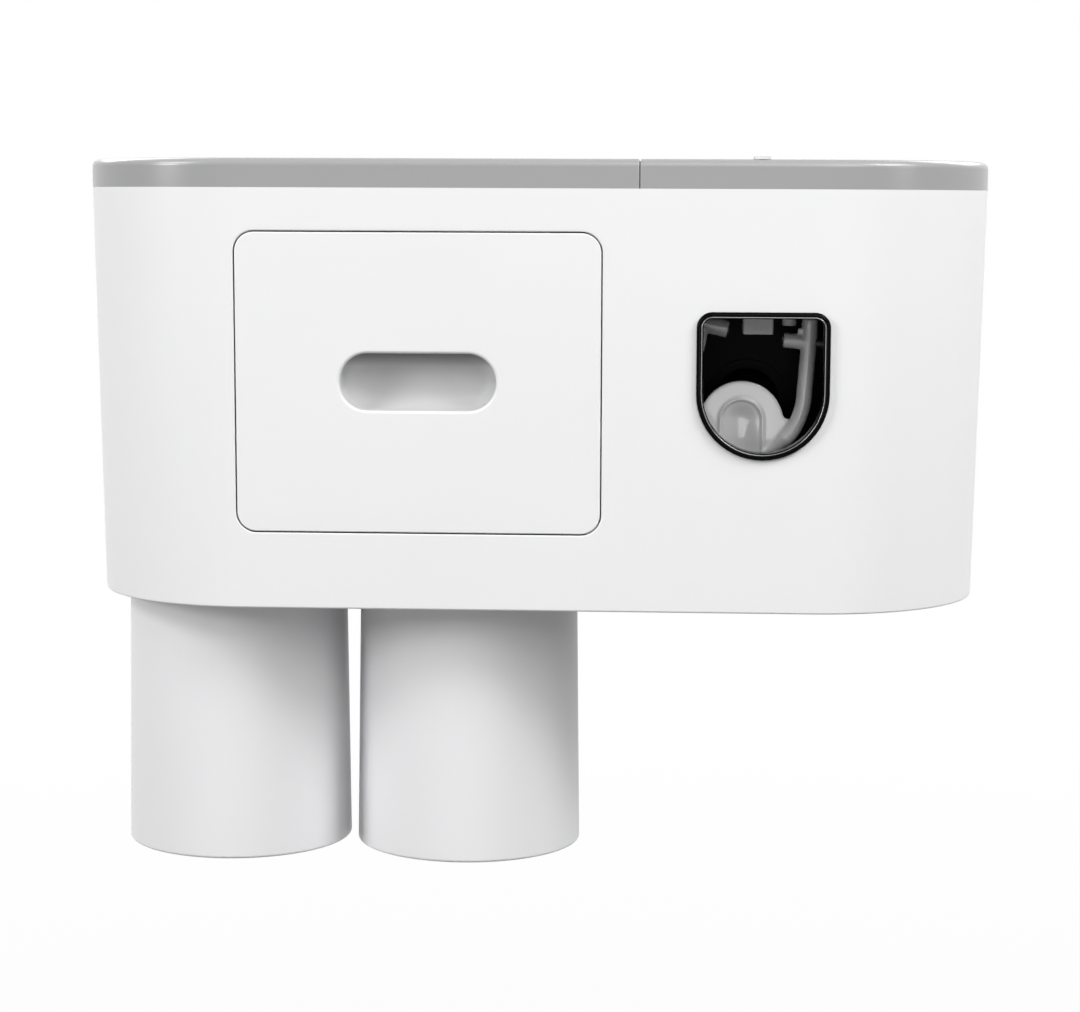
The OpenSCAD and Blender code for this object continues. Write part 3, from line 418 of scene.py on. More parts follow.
def moulded(name, colour, roughness, tone=0.015, grain=0.02, coat=0.0):
    """Moulded plastic: a faint drift of tone over a few centimetres, a very fine surface grain
    and a slightly uneven gloss."""
    look = bpy.data.materials.new(name)
    look.use_nodes = True
    shader = look.node_tree.nodes["Principled BSDF"]
    place = Wire(look.node_tree, look.node_tree.nodes.new("ShaderNodeTexCoord").outputs["Object"])
    drift, fine = (place.node("ShaderNodeTexNoise", {}, 0, {"Vector": place, "Scale": scale,
                                                            "Detail": detail})
                   for scale, detail in ((DRIFT_SCALE, 2.0), (GRAIN_SCALE, 1.0)))
    colours = [[min(1.0, c * (1 + sign * tone)) for c in colour] + [1] for sign in (-1, 1)]
    mixed = place.node("ShaderNodeMix", {"data_type": "RGBA"}, 2, {
        0: drift, 6: colours[0], 7: colours[1]})
    mixed.feed(shader.inputs["Base Color"])
    lowest = roughness - (DRIFT_GLOSS + GRAIN_GLOSS) / 2
    (drift * DRIFT_GLOSS + fine * GRAIN_GLOSS + lowest).feed(shader.inputs["Roughness"])
    bump = place.node("ShaderNodeBump", {}, 0, {"Height": fine, "Strength": grain,
                                                "Distance": GRAIN_DEPTH})
    bump.feed(shader.inputs["Normal"])
    shader.inputs["Coat Weight"].default_value = coat
    shader.inputs["Coat Roughness"].default_value = COAT_ROUGHNESS
    shader.inputs["IOR"].default_value = PLASTIC_IOR
    return look


shell_white = moulded("white_shell_plastic", WHITE, roughness=0.50)
levels = INNER_FLOOR + (SHELL_TOP - INNER_FLOOR) * np.linspace(0, 1, SIDE_STEPS + 2)
foot = foot_rows()
shell_patches = [
    (pierced_front(lambda inset: drawer_loop(inset - DRAWER_GAP), -FRONT_REACH, FRONT_SPLIT), True),
    (pierced_front(lambda inset: window_loop(inset + TRIM_WIDTH / 2), FRONT_SPLIT, FRONT_REACH),
     True),
    ([front_edge(SHELL_TOP), front_edge(SHELL_TOP, WALL)], False),
    (foot, False),
]
for side in (-1, 1):
    outer, inner = corner_wall(side, levels), corner_wall(side, levels, WALL)
    shell_patches += [(outer, False), (inner, False), ([outer[:, -1], inner[:, -1]], False),
                      ([outer[-1], inner[-1]], False)]

BOSS_WALL = 0.0024
MAGNET_RIM = 0.010
MAGNET_RADIUS = 0.0081
seat_boss = SEAT_RADIUS + BOSS_WALL
seat_roof = SEAT_TOP + BOSS_WALL
magnet_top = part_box("seat_magnets")[1][2]
seat_rings = []
for x in CUPS_X:
    profile = [(SEAT_RADIUS + inward, SHELL_FLOOR + down) for inward, down in fillet(SEAT_EDGE, 4)]
    seat = lathe((x, CUPS_Y, 0), profile + [(SEAT_RADIUS, SEAT_TOP), (0, SEAT_TOP)], count=192)
    seat_rings.append(seat[0])
    rim = [(MAGNET_RIM, seat_roof), (MAGNET_RIM, magnet_top), (MAGNET_RADIUS, magnet_top),
           (MAGNET_RADIUS, seat_roof), (0, seat_roof)]
    shell_patches += [(seat, True), (lathe((x, CUPS_Y, 0), rim), True)]
inner_outline = outline_at(INNER_FLOOR, WALL)
foot_back = foot[:, 0]
back_rim = np.concatenate([foot_back, foot_back[::-1] * (-1, 1, 1), inner_outline[[-1, 0]]])
shell_patches.append(([twin_loop(seat_boss, INNER_FLOOR), twin_loop(seat_boss, seat_roof)], True))
magnet_rings = [lathe((x, CUPS_Y, 0), [(MAGNET_RIM, seat_roof)])[0] for x in CUPS_X]
shell_flats = [[foot[-1], *seat_rings], [inner_outline, twin_loop(seat_boss, INNER_FLOOR)],
               [back_rim], [twin_loop(seat_boss, seat_roof), *magnet_rings]]

sleeve_low, sleeve_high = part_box("drawer_sleeve")
pump_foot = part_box("pump_body")[0][2]
BOSS_RADIUS = 0.004
BOSS_SINK = 0.001
POST_IN = 0.0066
POST_Y = (-0.087, -0.014)
BACK_BOSSES = ((-0.1205, -0.0704), (-0.1205, 0.0248), (-0.0905, -0.0704), (0.033, -0.0704),
               (0.1205, -0.0704), (0.1205, 0.0248))
BACK_BOSS_SPAN = (-0.015, -0.003)
BACK_BOSS_HOLE = 0.0014
BACK_BOSS_FLOOR = 0.002
BASE_BOSSES = (0.0397, 0.0897)
BASE_BOSS_Y = -0.0299


def standing_boss(x, y, top):
    """A round boss that stands on the floor, a little sunk in it, up to a flat top."""
    return lathe((x, y, 0), [(BOSS_RADIUS, INNER_FLOOR - BOSS_SINK), (BOSS_RADIUS, top), (0, top)],
                 count=32)


posts = [(x, y) for x in (sleeve_low[0] + POST_IN, sleeve_high[0] - POST_IN) for y in POST_Y]
shell_patches += [(standing_boss(x, y, sleeve_low[2]), True) for x, y in posts]
near, far = BACK_BOSS_SPAN
blind = near + BACK_BOSS_FLOOR
back_boss = [(0, near), (BOSS_RADIUS, near), (BOSS_RADIUS, far), (BACK_BOSS_HOLE, far),
             (BACK_BOSS_HOLE, blind), (0, blind)]
shell_patches += [(lathe((x, 0, z), back_boss, "y", 32), True) for x, z in BACK_BOSSES]
shell_patches += [(standing_boss(x, BASE_BOSS_Y, pump_foot), True) for x in BASE_BOSSES]

shell = build("shell_moulding", shell_patches, shell_white, shell_flats)
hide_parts("main_shell")
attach(shell, "casing")


# Inside of the body: the wall beside the tube's bay, the back plate with its keyholes and pads, the
# pump's body and riser, the drawer's sleeve and bin, the magnets and their caps, and the screws,
# pins and discs. The mouldings here are plainer, and the metal is plated or blackened.

INNER_WHITE = (0.78, 0.78, 0.785)
BACK_WHITE = (0.70, 0.70, 0.71)
PAD_BLACK = (0.03, 0.03, 0.03)
ZINC = (0.62, 0.62, 0.61)
NICKEL = (0.60, 0.58, 0.55)
BLACKENED = (0.02, 0.02, 0.02)


def tune(look, sockets):
    """Sets constants on a material's shader, by the names of its sockets."""
    for name, value in sockets.items():
        look.node_tree.nodes["Principled BSDF"].inputs[name].default_value = value


def finish(look, *nodes):
    """Gives CAD nodes a material."""
    for node in nodes:
        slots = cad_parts[node].data.materials
        slots.clear()
        slots.append(look)


inner_white = moulded("white_inner_plastic", INNER_WHITE, roughness=0.50, grain=0.05)
back_white = moulded("textured_back_plastic", BACK_WHITE, roughness=0.58, grain=0.25)
pad_rubber = moulded("black_pad_rubber", PAD_BLACK, roughness=0.75, tone=0.1, grain=0.2)
zinc = moulded("zinc_plated_steel", ZINC, roughness=0.34, tone=0.06, grain=0.08)
nickel = moulded("nickel_plate", NICKEL, roughness=0.22, tone=0.04, grain=0.03)
blackened = moulded("blackened_steel", BLACKENED, roughness=0.4, tone=0.0, grain=0.05)
for plated in (zinc, nickel):
    tune(plated, {"Metallic": 1.0})
finish(inner_white, "bay_divider", "drawer_sleeve", "drawer_box", "magnet_caps", "pump_body",
       "pump_riser")
finish(back_white, "back_plate")
finish(pad_rubber, "wall_pads")
finish(zinc, "back_screws", "rail_screws", "lid_hinge_pin", "drawer_screws", "pump_screws",
       "left_cup_disc", "right_cup_disc")
finish(nickel, "seat_magnets")
finish(blackened, "lever_pins")


# Grey top: a lift-out tray on the left and a hinged lid on the right, with a fixed rail behind
# them along the wall. All three are one satin grey plastic, and their upper edge is rounded.

TOP_GREY = (0.335, 0.335, 0.338)
BAND_EDGE = 0.0022
SEAM_EDGE = 0.0003
SEAM_CORNER = 0.0006
SEAM_CLOSE = 0.00018
LEAST_CORNER = 0.0001
TRAY_HANG = 0.003
TRAY_RIM = 0.005
WELL_MOUTH = 0.0007
WELL_FOOT = 0.0016
WELL_CORNER = 0.004
WELL_DEPTH = 0.014
TOP_THICK = 0.0022
LID_REAR = 0.002
LID_FLAT = 0.0015
KNUCKLE_X = (0.053, 0.1085)
KNUCKLE_HALF = 0.007
KNUCKLE_RADIUS = 0.003
KNUCKLE_ARM_Y = -0.013
HINGE_Y = -0.0065
HINGE_Z = 0.0409
tray_low, tray_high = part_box("storage_tray")
lid_low, lid_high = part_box("dispenser_lid")
rear_y = tray_high[1]
top_z = tray_high[2]
top_grey = moulded("satin_grey_plastic", TOP_GREY, roughness=0.25, tone=0.01, grain=0.005)
finish(top_grey, "hinge_rail")


def top_loop(left, right, outer, seam, z, corner=None):
    """The tray's or the lid's outline from x = left to right at height z: taken in by outer along
    the body's outside, and by seam beside the other pieces. The piece whose left side is the
    body's has a front left corner of a quarter circle, and the other one a front right corner."""
    small = max(corner or SEAM_CORNER - seam, LEAST_CORNER)
    big = CORNER - outer
    if left < 0:
        low_x, high_x, radii = left + outer, right - seam, (big, small, small, small)
    else:
        low_x, high_x, radii = left + seam, right - outer, (small, big, small, small)
    loop = box_loop((low_x, shell_low[1] + outer), (high_x, rear_y - seam), radii, side=24,
                    arc=40)
    return np.column_stack([loop, np.full(len(loop), z)])


def middle_of(loop):
    """A row that draws a flat loop together to its middle."""
    return loop * 0 + loop.mean(0)


def capped(rows):
    """Closes a run of rows at both ends, each with its middle."""
    return [middle_of(rows[0]), *rows, middle_of(rows[-1])]


def top_rim(left, right):
    """Rows up the band's outside and round its upper edge, as one quarter round."""
    return [top_loop(left, right, 0, 0, SHELL_TOP)] + [
        top_loop(left, right, inward, SEAM_EDGE * inward / BAND_EDGE, top_z - down)
        for inward, down in fillet(BAND_EDGE, 7)[::-1]]


tray_ends = (tray_low[0], tray_high[0] + SEAM_CLOSE)
tray_under = top_z - WELL_DEPTH - TOP_THICK
tray_rows = [top_loop(*tray_ends, TRAY_HANG, TRAY_HANG, tray_under),
             top_loop(*tray_ends, TRAY_HANG, TRAY_HANG, SHELL_TOP)] + top_rim(*tray_ends)
for inward, down in fillet(WELL_MOUTH, 4):
    inset = TRAY_RIM - inward
    tray_rows.append(top_loop(*tray_ends, inset, inset, top_z - down, WELL_CORNER))
for inward, down in fillet(WELL_FOOT, 5):
    inset = TRAY_RIM + down
    tray_rows.append(top_loop(*tray_ends, inset, inset, top_z - WELL_DEPTH + inward,
                              WELL_CORNER - down))
tray = build("tray_moulding", [(capped(tray_rows), True)], top_grey)
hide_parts("storage_tray")
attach(tray, "tray")

lid_ends = (lid_low[0] - SEAM_CLOSE, lid_high[0])
lid_under = top_z - TOP_THICK
lid_rows = [top_loop(*lid_ends, WALL, LID_REAR, lid_under),
            top_loop(*lid_ends, WALL, LID_REAR, SHELL_TOP)] + top_rim(*lid_ends)
lid_rows.append(top_loop(*lid_ends, BAND_EDGE + LID_FLAT, SEAM_EDGE + LID_FLAT, top_z))
around = np.linspace(-math.pi / 2, math.pi / 2, 25)
barrel = np.concatenate([
    np.stack([HINGE_Y + KNUCKLE_RADIUS * np.cos(around), HINGE_Z + KNUCKLE_RADIUS * np.sin(around)],
             1),
    [(KNUCKLE_ARM_Y, HINGE_Z + KNUCKLE_RADIUS), (KNUCKLE_ARM_Y, HINGE_Z - KNUCKLE_RADIUS)]])
lid_patches = [(capped(lid_rows), True)]
for middle in KNUCKLE_X:
    ends = [np.column_stack([np.full(len(barrel), middle + side * KNUCKLE_HALF), barrel])
            for side in (-1, 1)]
    lid_patches.append((capped(ends), True))
lid = build("lid_moulding", lid_patches, top_grey)
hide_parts("dispenser_lid")
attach(lid, "lid")


# Drawer front: a flush panel of the shell's own white, with a pill-shaped recess for two
# fingertips. Shade is painted into the recess's white: darker with depth and most of all at its
# top. The recess's back swells into the drawer, whose bin is screwed to the two bosses.

GRIP_HALF = 0.0141
GRIP_RADIUS = 0.00805
GRIP_LIP = 0.0015
GRIP_EDGE = 0.0009
GRIP_POWER = 0.62
GRIP_WALL = 0.0018
GRIP_RAISE = 0.0004
BIN_BOSS_X = 0.034
BIN_BOSS_RADIUS = 0.003
BIN_FRONT = -0.0949
RECESS_SHADE_GREY = (0.05, 0.05, 0.05)
RECESS_PAINTED_SHADE = 0.33
RECESS_TOP_PAINTED_SHADE = 0.58
grip_x = (drawer_low[0] + drawer_high[0]) / 2
grip_z = (drawer_low[2] + drawer_high[2]) / 2 + GRIP_RAISE
grip_face = on_front(np.array([grip_x, grip_z]))[1]


def level_back(loop, y):
    """A loop of (x, z) laid flat at one depth."""
    return np.stack([loop[:, 0], np.full(len(loop), y), loop[:, 1]], 1)


def capsule(radius):
    """A lying capsule's outline in x and z: every point is one radius from the middle line."""
    return box_loop((grip_x - GRIP_HALF - radius, grip_z - radius),
                    (grip_x + GRIP_HALF + radius, grip_z + radius), [radius] * 4)


def trough(radius, first, steps, power):
    """The recess's wall from the angle first to its deepest line: each row is a capsule of
    radius * cos^power at the depth radius * sin^power behind the recess's straight lip. A power
    of 1 is round, and a smaller one has a flatter floor."""
    rows = []
    for angle in np.linspace(first, math.pi / 2, steps):
        loop = capsule(radius * max(math.cos(angle), 0) ** power)
        depth = grip_face + GRIP_LIP + radius * math.sin(angle) ** power
        rows.append(level_back(loop, depth))
    return rows


outer_radius = GRIP_RADIUS + GRIP_WALL
swell_first = math.asin((WALL - GRIP_LIP) / outer_radius)
panel_rows = trough(GRIP_RADIUS, 0, 25, GRIP_POWER)[::-1]
panel_rows += [on_front(capsule(GRIP_RADIUS + inward), back=down)
               for inward, down in fillet(GRIP_EDGE, 7)[::-1]]
panel_face = between(capsule(GRIP_RADIUS + GRIP_EDGE), drawer_loop(EDGE_ROUND), FACE_ROWS)
panel_rows += list(on_front(panel_face))
panel_rows += [on_front(drawer_loop(inward), back=down) for inward, down in fillet(EDGE_ROUND, 4)]
swell_edge = capsule(outer_radius * math.cos(swell_first))
panel_rows += list(on_front(between(drawer_loop(0), swell_edge, 5), WALL))
panel_rows += trough(outer_radius, swell_first, 11, 1.0)
panel_patches = [(panel_rows, True)]
for side in (-1, 1):
    boss = [(BIN_BOSS_RADIUS, grip_face + WALL / 2), (BIN_BOSS_RADIUS, BIN_FRONT), (0, BIN_FRONT)]
    place = (grip_x + side * BIN_BOSS_X, 0, grip_z)
    panel_patches.append((lathe(place, boss, "y", 32), True))
# Painted shade: inside the recess the panel's white is mixed towards grey, more with depth and most
# at its top.
panel_white_painted_shade = moulded("white_drawer_plastic_painted_recess_shade", WHITE, roughness=0.50)
shader = panel_white_painted_shade.node_tree.nodes["Principled BSDF"]
place = panel_white_painted_shade.node_tree.nodes["Texture Coordinate"].outputs["Object"]
place = Wire(panel_white_painted_shade.node_tree, place)
x, y, z = (place.node("ShaderNodeSeparateXYZ", {}, axis, {0: place}) for axis in "XYZ")
aside = ((x - grip_x).maths("ABSOLUTE") - GRIP_HALF).maths("MAXIMUM", 0.0)
up = z - grip_z
within = (GRIP_RADIUS + GRIP_EDGE - (aside * aside + up * up).maths("SQRT")) * (1 / GRIP_EDGE)
deep = (y - grip_face) * (1 / GRIP_LIP)
upper = up * (2 / GRIP_RADIUS) - 1.0
within, deep, upper = (value.maths("MINIMUM", 1.0).maths("MAXIMUM", 0.0)
                       for value in (within, deep, upper))
# This mix paints the recess's shade into the base colour.
shaded = place.node("ShaderNodeMix", {"data_type": "RGBA"}, 2, {
    0: within * deep * (upper * RECESS_TOP_PAINTED_SHADE + RECESS_PAINTED_SHADE),
    6: Wire(panel_white_painted_shade.node_tree, shader.inputs["Base Color"].links[0].from_socket),
    7: (*RECESS_SHADE_GREY, 1)})
shaded.feed(shader.inputs["Base Color"])
panel = build("drawer_panel", panel_patches, panel_white_painted_shade)
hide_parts("drawer_front")
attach(panel, "drawer")


# Window trim: a gloss black bead that stands a little proud all round the window, with a short
# sleeve through the shell's wall. It snaps in from the front. A thin grey metal line along its
# inner shoulder is a painted highlight, in place of the gloss on the bead's inner edge.

TRIM_BLACK = (0.0008, 0.0008, 0.0009)
BEAD = TRIM_WIDTH / 2
BEAD_STAND = 0.0004
SLEEVE_WALL = 0.0008
LINE_INSET = 0.00145
LINE_RADIUS = 0.0002
LINE_SINK = 0.00008
HIGHLIGHT_LINE_GREY = (0.19, 0.19, 0.195)
gloss_black = moulded("gloss_black_plastic", TRIM_BLACK, roughness=0.09, tone=0.0, grain=0.0)
tune(gloss_black, {"Specular IOR Level": 0.04})
turn = np.linspace(0, math.pi, 17)
trim_rows = [on_front(window_loop(0), back=EDGE_ROUND)]
trim_rows += [on_front(window_loop(BEAD - BEAD * math.cos(a)),
                       back=-BEAD_STAND - BEAD * math.sin(a)) for a in turn]
inner_lip, outer_lip = window_loop(TRIM_WIDTH), window_loop(TRIM_WIDTH - SLEEVE_WALL)
trim_rows += [level_back(lip, trim_high[1]) for lip in (inner_lip, outer_lip)]
trim_rows += [on_front(outer_lip, back=EDGE_ROUND), trim_rows[0]]
trim = build("trim_bead", [(trim_rows, True)], gloss_black)
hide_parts("window_trim")
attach(trim, "casing")

# Painted highlight: this grey metal ring stands in for the gloss along the bead's inner edge.
highlight_line_look = moulded("painted_highlight_trim_edge", HIGHLIGHT_LINE_GREY, roughness=0.20, tone=0.0, grain=0.0)
tune(highlight_line_look, {"Metallic": 1.0})
shoulder = BEAD_STAND + math.sqrt(BEAD ** 2 - (LINE_INSET - BEAD) ** 2)
line_rows = [on_front(window_loop(LINE_INSET + LINE_RADIUS * math.cos(a)),
                      back=LINE_RADIUS * math.sin(a) - shoulder + LINE_SINK)
             for a in np.linspace(0, 2 * math.pi, 13)]
line = build("trim_line", [(line_rows, True)], highlight_line_look)
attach(line, "casing")


# Black chamber: the deep pocket behind the window that catches drips, one satin black moulding.
# Its side walls carry the lever's pins, and the bellows comes through the round hole in its back,
# where a ring of the same black clamps it.

CHAMBER_BLACK = (0.0015, 0.0015, 0.0017)
CHAMBER_GROW = 0.0044
CHAMBER_WALL = 0.0012
CHAMBER_FOOT = 0.0015
CHAMBER_TOUCH = EDGE_ROUND / 5
BELLOWS_HOLE = 0.01195
bellows_low, bellows_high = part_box("bellows_ring")
bellows_x = (bellows_low[0] + bellows_high[0]) / 2
bellows_z = (bellows_low[2] + bellows_high[2]) / 2
chamber_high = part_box("dispense_chamber")[1]
chamber_back = chamber_high[1]
chamber_black = moulded("satin_black_plastic", CHAMBER_BLACK, roughness=0.42, tone=0.0, grain=0.03)
tune(chamber_black, {"Specular IOR Level": 0.05})
finish(chamber_black, "bellows_ring")

hole = lathe((bellows_x, 0, bellows_z), [(BELLOWS_HOLE, chamber_back - CHAMBER_WALL),
                                         (BELLOWS_HOLE, chamber_back)], "y")
inner = window_loop(CHAMBER_WALL - CHAMBER_GROW)
outer = window_loop(-CHAMBER_GROW)
chamber_rows = [level_back(outer, chamber_back), on_front(outer, WALL, CHAMBER_TOUCH),
                on_front(inner, WALL, CHAMBER_TOUCH)]
chamber_rows += [level_back(window_loop(CHAMBER_WALL - CHAMBER_GROW + down),
                            chamber_back - CHAMBER_WALL - inward)
                 for inward, down in fillet(CHAMBER_FOOT, 5)]
chamber = build("black_pocket", [(chamber_rows, True), (hole, True)], chamber_black,
                [[chamber_rows[0], hole[1]], [chamber_rows[-1], hole[0]]])
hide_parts("dispense_chamber")
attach(chamber, "casing")


# Push lever: a round bar bent in a U, whose bend grows into a plate with an arched groove for a
# brush's head. It is one white moulding that turns on two hubs along a sloping line. Its right arm
# bows in, its left one is slimmer near the plate, and the bar thins out under the plate. A small
# step stands on the right hub.

LEVER_WHITE = (0.92, 0.92, 0.925)
LEVER_Y = -0.078
BAR_RADIUS = 0.0023
ARM_TOP = 0.0016
BEND_X = 0.0635
BEND_Z = -0.0224
BEND_RADIUS = 0.0162
ARM_LEAN = 0.0012
ARM_BOW = 0.0018
ARM_BOW_FROM = -0.0040
ARM_BOW_RUN = 0.024
HUBS = (((0.0484, -0.0012), (0.0563, -0.0030), 0.0025),
        ((0.0722, -0.0059), (0.0795, -0.0067), 0.0022))
STEP_LOW = (0.0763, -0.0055)
STEP_HIGH = (0.0785, -0.0025)
STEP_HALF = 0.0012
STEP_ROUND = 0.0002
PLATE_X = 0.0605
PLATE_Z = -0.0300
PLATE_RADIUS = 0.0121
PLATE_THICK = 0.0034
PLATE_OVERLAP = 0.0023
PLATE_UNDER = 0.0012
VALLEY_X = 0.0743
VALLEY_Z = -0.0269
VALLEY_RADIUS = 0.0020
GROOVE_HALF = 0.0061
GROOVE_DEPTH = 0.0010
GROOVE_Z = -0.0292
GROOVE_SIDE = 0.0055
RIM_HEIGHT = 0.00042
RIM_WIDTH = 0.0005
VOXEL = 0.00024
SOFTENINGS = 14
CAP_STEPS = 9
RAY_LENGTH = 2.2 * PLATE_RADIUS
RAY_STEPS = 800
SLIM_FROM = -0.0060
SLIM_RUN = 0.009
SLIM_BY = 0.0008
SLIM_OUT = 0.0007
THIN_END = 0.0006
THIN_FROM = -0.0345
THIN_TO = -0.0405
lever_white = moulded("white_lever_plastic", LEVER_WHITE, roughness=0.22, tone=0.01, grain=0.01,
                      coat=0.5)


def bar(path, radius, round_ends, count=40):
    """A round bar along a path in x and z: each ring is the path's point + radius * (cos * normal,
    sin * depth), and half round ends close it, or flat ones. The radius may change along it, and
    its middle then goes back as it gets thinner."""
    along = np.gradient(path, axis=0)
    along /= np.linalg.norm(along, axis=1)[:, None]
    radius = radius * np.ones(len(path))
    cap = np.linspace(0, math.pi / 2, CAP_STEPS)
    reach = np.sin(cap)[:, None] * (1 if round_ends else 0)
    path = np.concatenate([path[0] - along[0] * radius[0] * reach[::-1], path[1:-1],
                           path[-1] + along[-1] * radius[-1] * reach])
    along, widths = (np.concatenate([[rows[0]] * CAP_STEPS, rows[1:-1], [rows[-1]] * CAP_STEPS])
                     for rows in (along, radius))
    middle = LEVER_Y - widths + radius.max()
    sizes = np.concatenate([radius[0] * np.cos(cap[::-1]), radius[1:-1], radius[-1] * np.cos(cap)])
    angle = np.linspace(0, 2 * math.pi, count, endpoint=False)
    normal = np.stack([-along[:, 1], along[:, 0]], 1)
    flat = path[:, None] + (sizes[:, None] * np.cos(angle))[..., None] * normal[:, None]
    depth = middle[:, None] + sizes[:, None] * np.sin(angle)
    return np.stack([flat[..., 0], depth, flat[..., 1]], -1)


def plate_reach(ray):
    """How far the plate reaches from its middle along each ray: as long as the ray stays in the
    plate's circle, or below the valley between plate and arm, and within the bar's bend."""
    distance = np.linspace(0, RAY_LENGTH, RAY_STEPS)
    x = PLATE_X + distance * ray[:, :1]
    z = PLATE_Z + distance * ray[:, 1:]
    valley = VALLEY_Z - np.sqrt(np.maximum(VALLEY_RADIUS ** 2 - (x - VALLEY_X) ** 2, 0))
    inside = (distance[None] < PLATE_RADIUS) | (z < valley)
    right = np.clip((x - BEND_X) / BEND_RADIUS, 0, 1)
    inside &= (np.hypot(x + ARM_BOW * right - BEND_X, z - BEND_Z)
               < BEND_RADIUS + PLATE_OVERLAP * (1 - right) + PLATE_UNDER * right)
    return distance[np.argmin(inside, axis=1)]


turn = np.linspace(0, 2 * math.pi, 360, endpoint=False)
rays = np.stack([np.cos(turn), np.sin(turn)], 1)
edge = np.array([PLATE_X, PLATE_Z]) + plate_reach(rays)[:, None] * rays
plate_rows = [level_back(edge, y) for y in (LEVER_Y, LEVER_Y + PLATE_THICK)]

bend = np.linspace(math.pi, 2 * math.pi, 65)
arm = np.linspace(0, 1, 20)
left_arm = np.stack([BEND_X - BEND_RADIUS + ARM_LEAN * arm[::-1] ** 2,
                     ARM_TOP - BAR_RADIUS + (BEND_Z - ARM_TOP + BAR_RADIUS) * arm], 1)
u_path = np.concatenate([
    left_arm[:-1],
    np.stack([BEND_X + BEND_RADIUS * np.cos(bend), BEND_Z + BEND_RADIUS * np.sin(bend)], 1),
    (left_arm * (0, 1) + (BEND_X + BEND_RADIUS, 0))[::-1][1:]])
step_loop = box_loop(STEP_LOW, STEP_HIGH, [STEP_ROUND] * 4, side=4, arc=4)
step_rows = [level_back(step_loop, LEVER_Y + side * STEP_HALF) for side in (-1, 1)]
bow = np.clip((ARM_BOW_FROM - u_path[:, 1]) / ARM_BOW_RUN, 0, 1)
u_path[:, 0] -= ARM_BOW * bow * np.clip((u_path[:, 0] - BEND_X) / BEND_RADIUS, 0, 1)
thin = np.clip((THIN_FROM - u_path[:, 1]) / (THIN_FROM - THIN_TO), 0, 1)
thin = np.where(u_path[:, 0] < BEND_X, 1 - (1 - thin) ** 3, thin)
bar_radius = BAR_RADIUS + (THIN_END - BAR_RADIUS) * thin
aside = (u_path[:, 0] < BEND_X) * np.clip((SLIM_FROM - u_path[:, 1]) / SLIM_RUN, 0, 1)
bar_radius = np.minimum(bar_radius, BAR_RADIUS - SLIM_BY * aside)
u_path[:, 0] -= SLIM_OUT * aside * np.clip((BEND_X - u_path[:, 0]) / BEND_RADIUS, 0, 1)
lever_patches = [(bar(u_path, bar_radius, True), True), (capped(plate_rows), True),
                 (capped(step_rows), True)]
run = np.linspace(0, 1, 12)[:, None]
for first, last, radius in HUBS:
    hub_path = np.array(first) * (1 - run) + np.array(last) * run
    lever_patches.append((bar(hub_path, radius, False), True))
lever = build("u_lever", lever_patches, lever_white)

# The overlapping bars and the plate get one skin, whose joins are softened.
lever.modifiers.clear()
skin = lever.modifiers.new("one skin", "REMESH")
skin.mode = "VOXEL"
skin.voxel_size = VOXEL
soften = lever.modifiers.new("soft blends", "SMOOTH")
soften.factor = 0.5
soften.iterations = SOFTENINGS
rough_mesh = lever.data
whole = lever.evaluated_get(bpy.context.evaluated_depsgraph_get())
lever.data = bpy.data.meshes.new_from_object(whole)
lever.modifiers.clear()
bpy.data.meshes.remove(rough_mesh)

# The plate's front is dished inside the groove's outline, and raised in a thin rim along it.
spots = np.empty(3 * len(lever.data.vertices))
facing = np.empty_like(spots)
lever.data.vertices.foreach_get("co", spots)
lever.data.vertices.foreach_get("normal", facing)
spots, facing = spots.reshape(-1, 3), facing.reshape(-1, 3)
inside = GROOVE_HALF - np.hypot(spots[:, 0] - PLATE_X, np.maximum(spots[:, 2] - GROOVE_Z, 0))
sunk = np.clip(inside / GROOVE_SIDE, 0, 1)
sunk = sunk ** 2 * (3 - 2 * sunk)
rim = RIM_HEIGHT * np.exp(-(inside / RIM_WIDTH) ** 2)
front = np.clip(-2 * facing[:, 1], 0, 1) * (spots[:, 1] < LEVER_Y + PLATE_THICK / 2)
spots[:, 1] += front * (GROOVE_DEPTH * sunk - rim)
lever.data.vertices.foreach_set("co", spots.ravel())
lever.data.update()
lever.data.shade_smooth()
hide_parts("push_lever")
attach(lever, "lever")


# Bellows: a folded bulb of soft black silicone between the push plate and the pump's face. Its
# flange is clamped there by a ring.

BELLOWS_RADIUS = 0.009
BELLOWS_WALL = 0.0012
BELLOWS_FOLDS = 3
BELLOWS_WAIST = 0.0068
BELLOWS_FLANGE = 0.001
BELLOWS_NOSE = 0.002
BELLOWS_TIP = 0.001
bulb_low, bulb_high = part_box("pump_bellows")
bulb_length = bulb_high[1] - bulb_low[1]
fold = (bulb_length - BELLOWS_FLANGE - BELLOWS_NOSE) / BELLOWS_FOLDS
run = np.linspace(0.5, BELLOWS_FOLDS, 61)
ripple = (1 - np.cos(2 * math.pi * run)) / 2
outer_folds = np.stack([BELLOWS_WAIST + (BELLOWS_RADIUS - BELLOWS_WAIST) * ripple,
                        BELLOWS_FLANGE + run * fold], 1)
inner_folds = outer_folds[::-1] - (BELLOWS_WALL, 0)
flange_radius = (bulb_high[0] - bulb_low[0]) / 2
bulb_profile = np.concatenate([
    [(BELLOWS_WAIST - BELLOWS_WALL, 0), (flange_radius, 0), (flange_radius, BELLOWS_FLANGE)],
    outer_folds,
    [(BELLOWS_WAIST - BELLOWS_TIP, bulb_length), (0, bulb_length), (0, bulb_length - BELLOWS_WALL),
     (BELLOWS_WAIST - BELLOWS_WALL - BELLOWS_TIP, bulb_length - 2 * BELLOWS_WALL)],
    inner_folds, [(BELLOWS_WAIST - BELLOWS_WALL, 0)]])
